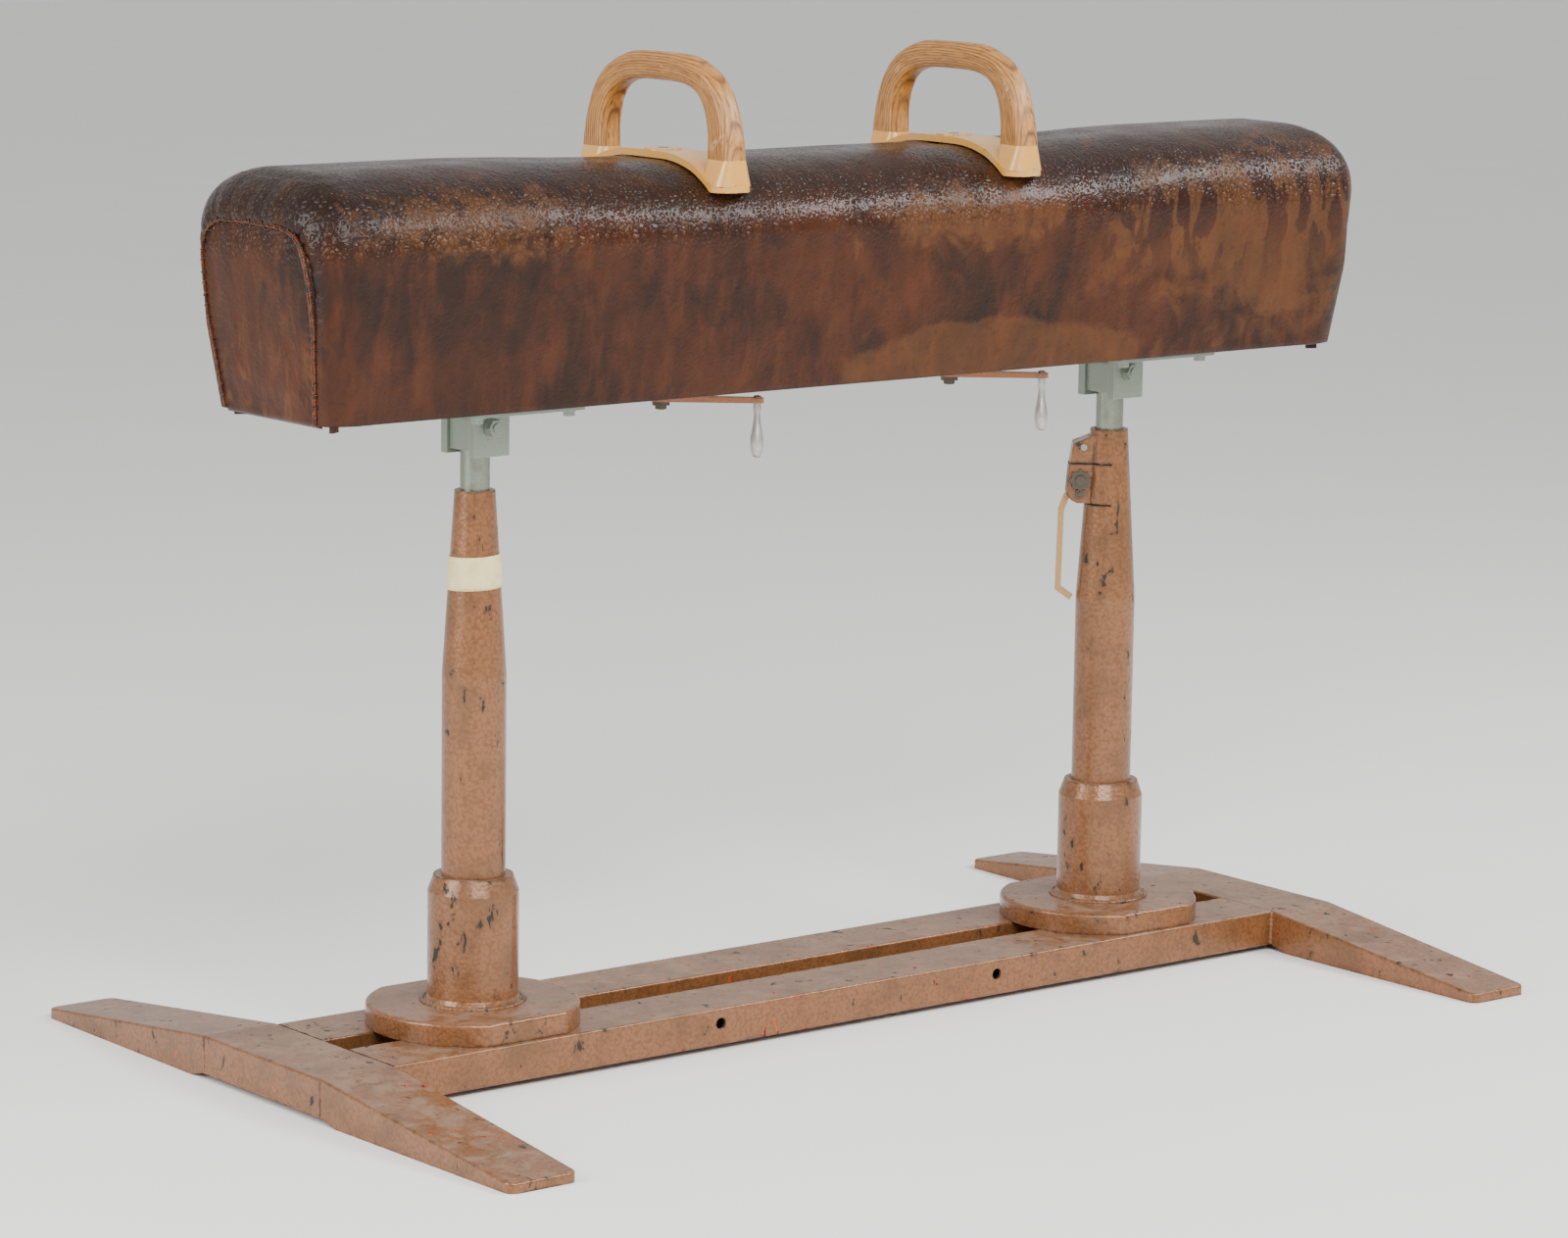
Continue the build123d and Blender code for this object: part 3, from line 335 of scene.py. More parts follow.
class CoverShape:
    """The outside of the leather cover, worked out from its packed box and the settings."""

    def __init__(self):
        chosen = settings().leather
        low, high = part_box("leather_cover")
        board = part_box("underside_board")[1]
        rim = 4 * MM
        self.bottom = low.z
        self.top = high.z
        self.half_x = high.x
        self.half_y = high.y
        self.half_x_bottom = board.x + rim
        self.half_y_bottom = board.y + rim
        self.round_x = chosen.end_corner_x
        self.round_y = chosen.end_corner_y
        self.drop = chosen.crown_drop
        self.corner = chosen.upright_corner
        self.shoulder = self.top - self.drop

    def half_sizes(self, z):
        """Half-length and half-width at a height under the shoulder."""
        rise = (min(z, self.shoulder) - self.bottom) / (self.shoulder - self.bottom)
        return (between(self.half_x_bottom, self.half_x, rise),
                between(self.half_y_bottom, self.half_y, rise))

    def place(self, along, across, height):
        """Map a point of a cube with sides of 2 onto the cover."""
        reach = abs(along)
        spread = reach * 1.25 if reach < 0.64 else between(0.8, 1.0, (reach - 0.64) / 0.36)
        z = between(self.bottom, self.top, (height + 1) / 2)
        half_x, half_y = self.half_sizes(z)
        low_down = smooth((self.shoulder - z) / (100 * MM))
        round_x = between(self.round_x, self.corner, low_down)
        round_y = between(self.round_y, self.corner, low_down)
        power = between(2.6, 2.0, low_down)
        x = spread * half_x
        y = abs(across) * half_y
        over_x = max(0.0, x - (half_x - round_x)) / round_x
        over_y = max(0.0, y - (half_y - round_y)) / round_y
        over_z = max(0.0, z - self.shoulder) / self.drop
        flat = (over_x ** power + over_y ** power) ** (1 / power)
        size = max(1.0, math.hypot(flat, over_z))
        if over_x > 0:
            x = half_x - round_x + round_x * over_x / size
        if over_y > 0:
            y = half_y - round_y + round_y * over_y / size
        if over_z > 0:
            z = self.shoulder + self.drop * over_z / size
        return Vector((math.copysign(x, along), math.copysign(y, across), z))


class PanelLine:
    """The seam line round an end panel, seen along the horse: up, over in an arch, and down."""

    def __init__(self, shape):
        chosen = settings().leather
        self.half = chosen.panel_half_width
        self.foot = chosen.panel_half_foot
        self.low = shape.bottom - 0.4 * MM
        self.arch = 112 * MM
        self.middle = shape.bottom + chosen.panel_height - self.arch
        self.shape = shape
        steps = 64
        points = [(between(self.foot, self.half, i / steps), between(self.low, self.middle, i / steps))
                  for i in range(steps)]
        for i in range(2 * steps + 1):
            angle = math.pi * i / (2 * steps)
            points.append((math.copysign(abs(math.cos(angle)) ** ARCH_POWER, math.cos(angle)) * self.half,
                           self.middle + self.arch * abs(math.sin(angle)) ** ARCH_POWER))
        points += [(-y, z) for y, z in reversed(points[:steps])]
        self.points = self.even(points, SEAM_STEP)

    @staticmethod
    def even(points, spacing):
        """The same line with its points evenly spaced."""
        lengths = [0.0]
        for (y0, z0), (y1, z1) in zip(points, points[1:]):
            lengths.append(lengths[-1] + math.hypot(y1 - y0, z1 - z0))
        count = int(lengths[-1] / spacing)
        result = []
        index = 0
        for i in range(count + 1):
            wanted = lengths[-1] * i / count
            while index < len(lengths) - 2 and lengths[index + 1] < wanted:
                index += 1
            span = lengths[index + 1] - lengths[index]
            part = (wanted - lengths[index]) / span if span else 0.0
            result.append((between(points[index][0], points[index + 1][0], part),
                           between(points[index][1], points[index + 1][1], part)))
        return result

    def inside(self, y, z):
        """Whether a point lies within the panel."""
        if z <= self.middle:
            rise = (z - self.low) / (self.middle - self.low)
            return abs(y) < between(self.foot, self.half, rise) and z > self.low
        square = 2 / ARCH_POWER
        return (abs(y) / self.half) ** square + ((z - self.middle) / self.arch) ** square < 1

    def nearest(self, y, z):
        """Signed distance to the seam, negative inside, and how far along the seam that is."""
        best, where = min((math.hypot(y - p[0], z - p[1]), i) for i, p in enumerate(self.points))
        return (-best if self.inside(y, z) else best), self.total_at(where)

    def total_at(self, index):
        """Distance along the seam of a numbered point."""
        return index * SEAM_STEP

    def end_x(self, z):
        """Half-length of the horse at a height, where the panel lies."""
        return self.shape.half_sizes(z)[0]

    def frame_at(self, index, side):
        """Point on the seam, direction along it, and direction away from the panel."""
        y, z = self.points[index]
        before = self.points[max(0, index - 1)]
        after = self.points[min(len(self.points) - 1, index + 1)]
        along = Vector((0, after[0] - before[0], after[1] - before[1])).normalized()
        away = Vector((0, along.z, -along.y))
        return Vector((side * self.end_x(z), y, z)), along, away


def crease(distance, pitch):
    """1 in the narrow crease at each stitch and 0 between stitches."""
    wobble = 0.18 * noise.noise(Vector((distance * 40, 3.1, 0.7)))
    return 1 - abs(math.sin(math.pi * (distance / pitch + wobble))) ** 0.55


# ---------------------------------------------------------------- leather pieces
def cut_slots(bm):
    """Open the skin over the slots that the pommels' rods slide in."""
    for name in SIDES:
        low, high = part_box(f"slot_liner_{name}")
        over = [f for f in bm.faces if f.calc_center_median().z > high.z - 10 * MM
                and low.x - 2 * MM < f.calc_center_median().x < high.x + 2 * MM
                and low.y - MM < f.calc_center_median().y < high.y + MM]
        bmesh.ops.delete(bm, geom=over, context="FACES")


def turn_under(bm, shape):
    """Fold the lower edge of the skin under the board."""
    fold = 9 * MM
    rim = [e for e in bm.edges if e.is_boundary and max(v.co.z for v in e.verts) < shape.bottom + 20 * MM]
    for inward, down in ((1.5 * MM, -1.2 * MM), (fold, -0.2 * MM)):
        grown = bmesh.ops.extrude_edge_only(bm, edges=rim)["geom"]
        for vert in (g for g in grown if isinstance(g, bmesh.types.BMVert)):
            for axis, half in ((0, shape.half_x_bottom), (1, shape.half_y_bottom)):
                if abs(vert.co[axis]) > half - 30 * MM:
                    vert.co[axis] -= math.copysign(inward, vert.co[axis])
            vert.co.z = shape.bottom + down
        rim = [g for g in grown if isinstance(g, bmesh.types.BMEdge)]


def build_cover():
    """The skin over the top and the long sides, gathered in round both end panels."""
    chosen = settings().leather
    shape = CoverShape()
    line = PanelLine(shape)
    bm = bmesh.new()
    bmesh.ops.create_cube(bm, size=2)
    for axis, cuts in ((0, 199), (1, 51), (2, 45)):
        along = [e for e in bm.edges if abs(e.verts[0].co[axis] - e.verts[1].co[axis]) > 0.5]
        bmesh.ops.subdivide_edges(bm, edges=along, cuts=cuts, use_grid_fill=True)
    ends = [e for e in bm.edges if all(abs(v.co.x) > 0.93 for v in e.verts)]
    bmesh.ops.subdivide_edges(bm, edges=ends, cuts=1, use_grid_fill=True)
    for vert in bm.verts:
        vert.co = shape.place(*vert.co)
    under = [f for f in bm.faces if all(v.co.z < shape.bottom + 0.2 * MM for v in f.verts)]
    bmesh.ops.delete(bm, geom=under, context="FACES")
    bm.normal_update()
    shifts = []
    for vert in bm.verts:
        low = noise.noise(vert.co * 7)
        shift = -(0.5 + 0.5 * low) * 1.4 * MM
        behind = shape.half_sizes(vert.co.z)[0] - abs(vert.co.x)
        if behind < 60 * MM and vert.co.z < shape.top - 8 * MM:
            apart, where = line.nearest(vert.co.y, vert.co.z)
            if apart > 0:
                apart += max(0.0, behind)
                top_side = smooth((vert.co.z - line.middle) / (90 * MM))
                pitch = chosen.stitch_pitch
                reach = between(10, 17, top_side) * MM
                depth = chosen.gather_depth * between(0.8, 1.0, top_side)
                depth *= 0.75 + 0.5 * noise.noise(Vector((where * 25, 0, 0)))
                long_fold = crease(where, pitch * 2.5) * top_side * 4.2 * MM * math.exp(-apart / (34 * MM))
                puff = 7 * MM * (apart / (19 * MM)) * math.exp(1 - apart / (19 * MM))
                shift += puff - depth * crease(where, pitch) * math.exp(-apart / reach) - long_fold
            else:
                shift -= 7 * MM * smooth((-apart - 2 * MM) / (5 * MM))
        high_up = smooth((vert.co.z - shape.shoulder) / (60 * MM))
        shifts.append(shift + chosen.crown_sag * high_up * smooth((abs(vert.co.x) - 0.25) / 0.3))
    for vert, shift in zip(bm.verts, shifts):
        vert.co += vert.normal * shift
    cut_slots(bm)
    turn_under(bm, shape)
    return bm


def build_panel(side):
    """One end panel: rings that shrink from the seam to the middle, padded and tacked at the rim."""
    chosen = settings().leather
    shape = CoverShape()
    line = PanelLine(shape)
    count = len(line.points)
    base = [(y, line.low) for y in (-line.foot * between(1, -1, (i + 1) / 41) for i in range(40))]
    outline = list(line.points) + base
    middle_z = (line.low + shape.bottom + chosen.panel_height) / 2
    tucked = [Vector((side * (line.end_x(z) - 6 * MM), y * 1.06, middle_z + (z - middle_z) * 1.04))
              for y, z in outline]
    rings = [tucked]
    for level in range(30):
        shrink = 1 - level / 30
        points = []
        for index, (y, z) in enumerate(outline):
            y_in = y * shrink
            z_in = middle_z + (z - middle_z) * shrink
            apart = math.hypot(y - y_in, z - z_in)
            pull = crease(index * SEAM_STEP, chosen.stitch_pitch) if index < count else 0
            proud = 0.6 * MM + 2.6 * MM * smooth(apart / (60 * MM))
            proud -= 1.7 * MM * pull * math.exp(-apart / (9 * MM))
            ripple = noise.noise(Vector((side * 3, y_in * 14, z_in * 9)))
            proud += 1.2 * MM * ripple * smooth(apart / (15 * MM))
            points.append(Vector((side * (line.end_x(z_in) + proud), y_in, z_in)))
        rings.append(points)
    bm = bmesh.new()
    sweep(bm, rings)
    finish_mesh(bm)
    outward = sum((f.normal.x * f.calc_area() for f in bm.faces))
    if outward * side < 0:
        bmesh.ops.reverse_faces(bm, faces=bm.faces)
    return bm


def build_welt(side):
    """The two cut leather edges that stand up along the seam, scalloped between stitches."""
    chosen = settings().leather
    line = PanelLine(CoverShape())
    bm = bmesh.new()
    for shift, width, tall in ((0.2 * MM, 1.0 * MM, 0.8), (2.1 * MM, 1.0 * MM, 0.55)):
        rings = []
        for index in range(len(line.points)):
            point, _, away = line.frame_at(index, side)
            out = Vector((side, 0, 0))
            where = index * SEAM_STEP
            height = tall * (3.6 * MM + 0.9 * MM * (1 - crease(where, chosen.stitch_pitch)))
            lean = 0.9 * MM * noise.noise(Vector((where * 60, shift * 900, side)))
            foot = point + away * shift - out * 1.5 * MM
            peak = foot + out * (height + 1.5 * MM) + away * lean
            rings.append([foot - away * width, foot + away * width,
                          peak + away * width * 0.8 - out * 0.6 * MM, peak + away * width * 0.3,
                          peak - away * width * 0.3, peak - away * width * 0.8 - out * 0.6 * MM])
        sweep(bm, rings)
    finish_mesh(bm)
    return bm


def build_stitches(side):
    """Waxed thread looped over the seam, one loop a stitch."""
    chosen = settings().leather
    line = PanelLine(CoverShape())
    pitch_points = chosen.stitch_pitch / SEAM_STEP
    count = int(len(line.points) / pitch_points)
    bm = bmesh.new()
    for number in range(1, count):
        index = min(len(line.points) - 2, round(number * pitch_points))
        point, along, away = line.frame_at(index, side)
        out = Vector((side, 0, 0))
        slant = 2.2 * MM * (1 + 0.4 * noise.noise(Vector((number * 1.7, side, 0))))
        rings = []
        for turn in range(7):
            angle = math.pi * turn / 6
            centre = (point + away * (1.2 * MM - 3.6 * MM * math.cos(angle))
                      + out * (3.4 * MM * math.sin(angle) - 0.4 * MM) + along * slant * math.cos(angle))
            tangent = (away * math.sin(angle) + out * math.cos(angle)).normalized()
            normal = tangent.cross(along).normalized()
            rings.append(ring_round(centre, along, normal, (chosen.thread_radius, chosen.thread_radius), 6))
        sweep(bm, rings)
    finish_mesh(bm)
    return bm


def patch(tree, place, centre, half_size, rough_mm, ragged, offset=0.0):
    """A soft-edged patch round a point, ragged at its rim; centre and half_size are in metres."""
    moved = add_node(tree, "ShaderNodeVectorMath", {0: place, 1: centre}, operation="SUBTRACT")
    squeezed = add_node(tree, "ShaderNodeVectorMath", {0: moved.outputs[0], 1: half_size}, operation="DIVIDE")
    far = add_node(tree, "ShaderNodeVectorMath", {0: squeezed.outputs[0]},
                   operation="LENGTH").outputs["Value"]
    rag = cloud(tree, place, rough_mm, 6.0, 0.6, 0.8, offset=offset)
    return math_node(tree, "ADD", math_node(tree, "SUBTRACT", 1.0, far),
                     math_node(tree, "MULTIPLY_ADD", rag, 2 * ragged, -ragged))


WIDE = 10.0  # metres: a patch this deep takes in both sides of the horse


def leather_material(name, panel=False):
    """Waxed old cowhide: a deep mottled red-brown, cracked and glossy, rubbed tan by hands and chalk."""
    chosen = settings().leather
    material, tree, shader, place = new_material(name, **{"Specular IOR Level": 0.24})
    parts = add_node(tree, "ShaderNodeSeparateXYZ", {"Vector": place})
    x, z = parts.outputs["X"], parts.outputs["Z"]
    broad = cloud(tree, place, 190, 5.0, 0.6, 0.3)
    streak = cloud(tree, scaled(tree, place, 1.5, 1.5, 0.4), 42, 5.0, 0.6, 0.3, offset=3.0)
    fine = cloud(tree, place, 12, 4.0, 0.7, 0.0, offset=1.0)
    crown = step(tree, z, 0.985, 1.035)
    base = blend_colours(tree, step(tree, broad, 0.34, 0.64), rgba(chosen.middle), rgba(chosen.warm))
    base = blend_colours(tree, math_node(tree, "MULTIPLY", step(tree, streak, 0.40, 0.70), 0.55), base,
                         rgba(linear("#52280F")))
    smudge = cloud(tree, scaled(tree, place, 1.0, 1.0, 0.7), 75, 6.0, 0.62, 0.5, offset=11.0)
    smudge = step(tree, smudge, 0.50, 0.66)
    base = blend_colours(tree, math_node(tree, "MULTIPLY", smudge, 0.62), base, rgba(chosen.dark))
    if panel:
        rub = step(tree, cloud(tree, scaled(tree, place, 1.0, 2.6, 0.8), 60, 5.0, 0.65, 1.0), 0.50, 0.66)
        low = step(tree, z, 0.93, 0.84)
        wear = math_node(tree, "MULTIPLY", rub, math_node(tree, "MULTIPLY_ADD", low, 0.32, 0.10))
    else:
        # painted shade: the crown is mixed by height towards a dark grey-brown, in a mottle
        mottle = cloud(tree, place, 34, 6.0, 0.7, 0.2, offset=21.0)
        crown_shade = math_node(tree, "MULTIPLY_ADD", step(tree, mottle, 0.6, 0.42), 0.35, 0.5)
        crown_shade = math_node(tree, "MULTIPLY", crown, crown_shade)
        base = blend_colours(tree, crown_shade, base, rgba(linear("#22140F")))
        # hands wore the left shoulder, the stretch right of the middle and the right end
        left_rub = patch(tree, place, (-0.60, 0.0, 1.01), (0.22, WIDE, 0.055), 30, 1.3)
        mid_rub = patch(tree, place, (0.14, 0.0, 0.985), (0.22, WIDE, 0.055), 46, 1.0, 4.0)
        right_rub = patch(tree, place, (0.62, 0.0, 0.95), (0.36, WIDE, 0.17), 58, 0.9, 8.0)
        stain = patch(tree, place, (0.20, 0.0, 0.80), (0.33, WIDE, 0.078), 120, 0.35, 2.0)
        rubbed = 0.0
        for zone, low, high, strength in ((left_rub, 0.15, 0.8, 0.42), (mid_rub, 0.15, 0.65, 0.44),
                                          (right_rub, 0.15, 0.60, 0.36), (stain, 0.18, 0.30, 0.30)):
            faded = math_node(tree, "MULTIPLY", step(tree, zone, low, high), strength)
            rubbed = math_node(tree, "MAXIMUM", rubbed, faded)
        thin = math_node(tree, "MULTIPLY_ADD", cloud(tree, place, 24, 5.0, 0.65, offset=5.0), 0.9, 0.45)
        # dark wax ran down from the top over the right end
        runs = cloud(tree, scaled(tree, place, 2.2, 2.2, 0.8), 70, 3.0, 0.45, 0.5, offset=9.0)
        drip_zone = math_node(tree, "MULTIPLY", step(tree, x, 0.12, 0.38), step(tree, z, 0.86, 1.0))
        drips = math_node(tree, "MULTIPLY", step(tree, runs, 0.505, 0.525), drip_zone)
        wear = math_node(tree, "MULTIPLY", math_node(tree, "MULTIPLY", rubbed, thin),
                         math_node(tree, "SUBTRACT", 1.0, drips))
    base = blend_colours(tree, wear, base, rgba(chosen.worn))
    if not panel:
        base = blend_colours(tree, math_node(tree, "MULTIPLY", drips, 0.45), base, rgba(linear("#2C140C")))
    # dark rubbed-in wax speckle
    base = blend_colours(tree, math_node(tree, "MULTIPLY", step(tree, fine, 0.54, 0.70), 0.35), base,
                         rgba(chosen.dark))
    # cracks about 7 mm apart, strongest along the top and shoulder
    uneven = warped(tree, place, 20, 3.0)
    crack_line = cells(tree, uneven, 7.0, "DISTANCE_TO_EDGE")
    low_noise = cloud(tree, place, 170, 3.0, 0.5, offset=12.0)
    crack_zone = math_node(tree, "MULTIPLY", step(tree, z, 0.955, 1.0), step(tree, low_noise, 0.30, 0.52))
    crack = math_node(tree, "MULTIPLY", step(tree, crack_line, 0.10, 0.0), crack_zone)
    base = blend_colours(tree, math_node(tree, "MULTIPLY", crack, 0.75), base, rgba(chosen.dark))
    plates = math_node(tree, "MULTIPLY", step(tree, crack_line, 0.1, 0.45), crack_zone)
    pale = step(tree, cloud(tree, place, 16, 4.0, 0.6, offset=31.0), 0.5, 0.7)
    pale_plates = math_node(tree, "MULTIPLY", plates, pale)
    base = blend_colours(tree, math_node(tree, "MULTIPLY", pale_plates, 0.42), base, rgba(linear("#6D4A34")))
    # hide grain, drawn at 3.6 mm where the real one is nearer 1 mm, so that it shows
    pebble = cells(tree, warped(tree, place, 9, 1.2), 3.6, "SMOOTH_F1")
    swell = cloud(tree, place, 34, 3.0, 0.5)
    normal = bump(tree, swell, 2.0)
    normal = bump(tree, plates, 1.1, normal)
    normal = bump(tree, math_node(tree, "MULTIPLY", pebble, -1.0), 0.35 if panel else 0.55, normal)
    normal = bump(tree, fine, 0.15 if panel else 0.3, normal)
    rough = math_node(tree, "MULTIPLY_ADD", cloud(tree, place, 55, 4.0, 0.6, offset=7.0), 0.36, 0.26)
    rough = math_node(tree, "MULTIPLY_ADD", step(tree, z, 0.95, 1.0), -0.16, rough)
    rough = math_node(tree, "MULTIPLY_ADD", wear, 0.2, rough, clamp=True)
    connect(tree, shader, base, normal, rough)
    return material


def thread_material():
    """Waxed linen thread: nearly black, with a dull shine and a fine twist."""
    material, tree, shader, place = new_material("waxed_linen_thread", Roughness=0.45)
    twist = cells(tree, place, 1.6)
    shade = blend_colours(tree, step(tree, twist, 0.1, 0.6), rgba(settings().leather.thread),
                          rgba(linear("#4A3222")))
    connect(tree, shader, shade, bump(tree, twist, 0.3))
    return material


def raw_edge_material():
    """Cut edge of thick vegetable-tanned hide: paler and more orange than its face, dry and fibrous."""
    material, tree, shader, place = new_material("cut_hide_edge", Roughness=0.6)
    fibre = cloud(tree, place, 5, 5.0, 0.7)
    shade = blend_colours(tree, step(tree, fibre, 0.35, 0.65), rgba(settings().leather.middle),
                          rgba(linear("#6A3515")))
    connect(tree, shader, shade, bump(tree, fibre, 0.4))
    return material


# ---------------------------------------------------------------- metal finishes
def enamel_material(name):
    """Hammered stove enamel: small glossy copper-brown cells, chipped to orange primer and to dark steel."""
    chosen = settings().frame
    material, tree, shader, place = new_material(name, Metallic=0.3, **{"Coat Weight": 0.25,
                                                                        "Coat Roughness": 0.15})
    parts = add_node(tree, "ShaderNodeSeparateXYZ", {"Vector": place})
    hammered = cells(tree, warped(tree, place, 12, 2.0), 4.0, "SMOOTH_F1")
    tone = cloud(tree, place, 60, 5.0, 0.6, 0.4)
    base = blend_colours(tree, step(tree, hammered, 0.25, 0.7), rgba(chosen.enamel_light),
                         rgba(chosen.enamel))
    grime = blend_colours(tree, math_node(tree, "MULTIPLY", step(tree, tone, 0.45, 0.68), 0.5), base,
                          rgba(linear("#5E4022")))
    # tops are rubbed grey by feet and chalk
    facing = add_node(tree, "ShaderNodeSeparateXYZ", {"Vector": add_node(
        tree, "ShaderNodeNewGeometry").outputs["Normal"]}).outputs["Z"]
    dusty = math_node(tree, "MULTIPLY", step(tree, facing, 0.75, 0.98),
                      step(tree, cloud(tree, place, 34, 6.0, 0.65, 0.6, offset=17.0), 0.38, 0.66))
    grime = blend_colours(tree, math_node(tree, "MULTIPLY", dusty, 0.45), grime, rgba(linear("#A08F7E")))
    wear = edge_wear(tree, 5.0)
    spots = cloud(tree, scaled(tree, place, 1.0, 1.0, 0.5), 15, 5.0, 0.6, 0.4, offset=2.0)
    zone = cloud(tree, place, 110, 2.0, 0.5, offset=6.0)
    likely = math_node(tree, "MULTIPLY_ADD", wear, 0.16, math_node(tree, "MULTIPLY", zone, 0.19))
    total = math_node(tree, "ADD", spots, likely)
    chipped = step(tree, total, 0.745, 0.76)
    primed = step(tree, total, 0.715, 0.725)
    on_frame = step(tree, parts.outputs["Z"], 0.09, 0.06)
    primer_zone = math_node(tree, "MULTIPLY", on_frame, step(tree, cloud(
        tree, place, 90, 2.0, 0.5, offset=15.0), 0.55, 0.62))
    halo = math_node(tree, "MULTIPLY", step(tree, total, 0.66, 0.745), 0.4)
    shade = blend_colours(tree, halo, grime, rgba(linear("#5A3C22")))
    shade = blend_colours(tree, math_node(tree, "MULTIPLY", primed, primer_zone), shade, rgba(chosen.primer))
    shade = blend_colours(tree, chipped, shade, rgba(chosen.chip))
    normal = bump(tree, hammered, -0.4)
    normal = bump(tree, chipped, -0.5, normal)
    rough = math_node(tree, "MULTIPLY_ADD", tone, 0.25, 0.2)
    rough = math_node(tree, "MULTIPLY_ADD", dusty, 0.3, rough)
    rough = math_node(tree, "MULTIPLY_ADD", chipped, 0.4, rough, clamp=True)
    connect(tree, shader, shade, normal, rough)
    return material


def zinc_material():
    """Dull zinc plate on steel: cool grey-green, clouded by white bloom, paler towards its sharp edges."""
    chosen = settings().frame
    material, tree, shader, place = new_material("zinc_plated_steel", Metallic=0.45)
    bloom = cloud(tree, place, 16, 6.0, 0.65, 0.6)
    speck = cloud(tree, place, 2.4, 3.0, 0.6, offset=3.0)
    base = blend_colours(tree, step(tree, bloom, 0.35, 0.7), rgba(linear("#8B968B")), rgba(chosen.zinc))
    base = blend_colours(tree, math_node(tree, "MULTIPLY", step(tree, speck, 0.58, 0.7), 0.45), base,
                         rgba(linear("#5F655C")))
    worn = edge_wear(tree, 1.2)
    base = blend_colours(tree, math_node(tree, "MULTIPLY", worn, 0.4), base, rgba(linear("#C9CCC6")))
    connect(tree, shader, base, bump(tree, speck, 0.12), math_node(tree, "MULTIPLY_ADD", bloom, 0.3, 0.22))
    return material


def steel_material(name, shade_name, rough_base, line_mm, squash_z):
    """Bare steel: drawn or turned, with fine tool lines round it and a little brown haze."""
    chosen = settings().frame
    material, tree, shader, place = new_material(name, Metallic=0.9)
    lines = cloud(tree, scaled(tree, place, 0.05, 0.05, squash_z), line_mm, 3.0, 0.6)
    haze = cloud(tree, place, 22, 5.0, 0.6, offset=4.0)
    base = blend_colours(tree, math_node(tree, "MULTIPLY", step(tree, haze, 0.45, 0.75), 0.5),
                         rgba(getattr(chosen, shade_name)), rgba(linear("#6B5E50")))
    connect(tree, shader, base, bump(tree, lines, 0.08),
            math_node(tree, "MULTIPLY_ADD", haze, 0.22, rough_base))
    return material


def flat_enamel_material(name, face, rubbed, wear_radius, size_mm=26):
    """Brushed-on gloss enamel: even colour with sags, rubbed thin and chipped on its edges."""
    material, tree, shader, place = new_material(name, **{"Coat Weight": 0.6, "Coat Roughness": 0.1})
    tone = cloud(tree, place, size_mm, 5.0, 0.6, 0.5)
    sag = cloud(tree, place, 12, 2.0, 0.5, offset=5.0)
    base = blend_colours(tree, math_node(tree, "MULTIPLY", step(tree, tone, 0.45, 0.72), 0.6), rgba(face),
                         rgba(rubbed))
    wear = edge_wear(tree, wear_radius)
    chips = cloud(tree, place, 7, 6.0, 0.65, 0.3, offset=8.0)
    chipped = step(tree, math_node(tree, "MULTIPLY_ADD", wear, 0.14, chips), 0.70, 0.73)
    base = blend_colours(tree, chipped, base, rgba(linear("#6E5334")))
    connect(tree, shader, base, bump(tree, chipped, -0.25, bump(tree, sag, 0.35)),
            math_node(tree, "MULTIPLY_ADD", tone, 0.25, 0.15))
    return material


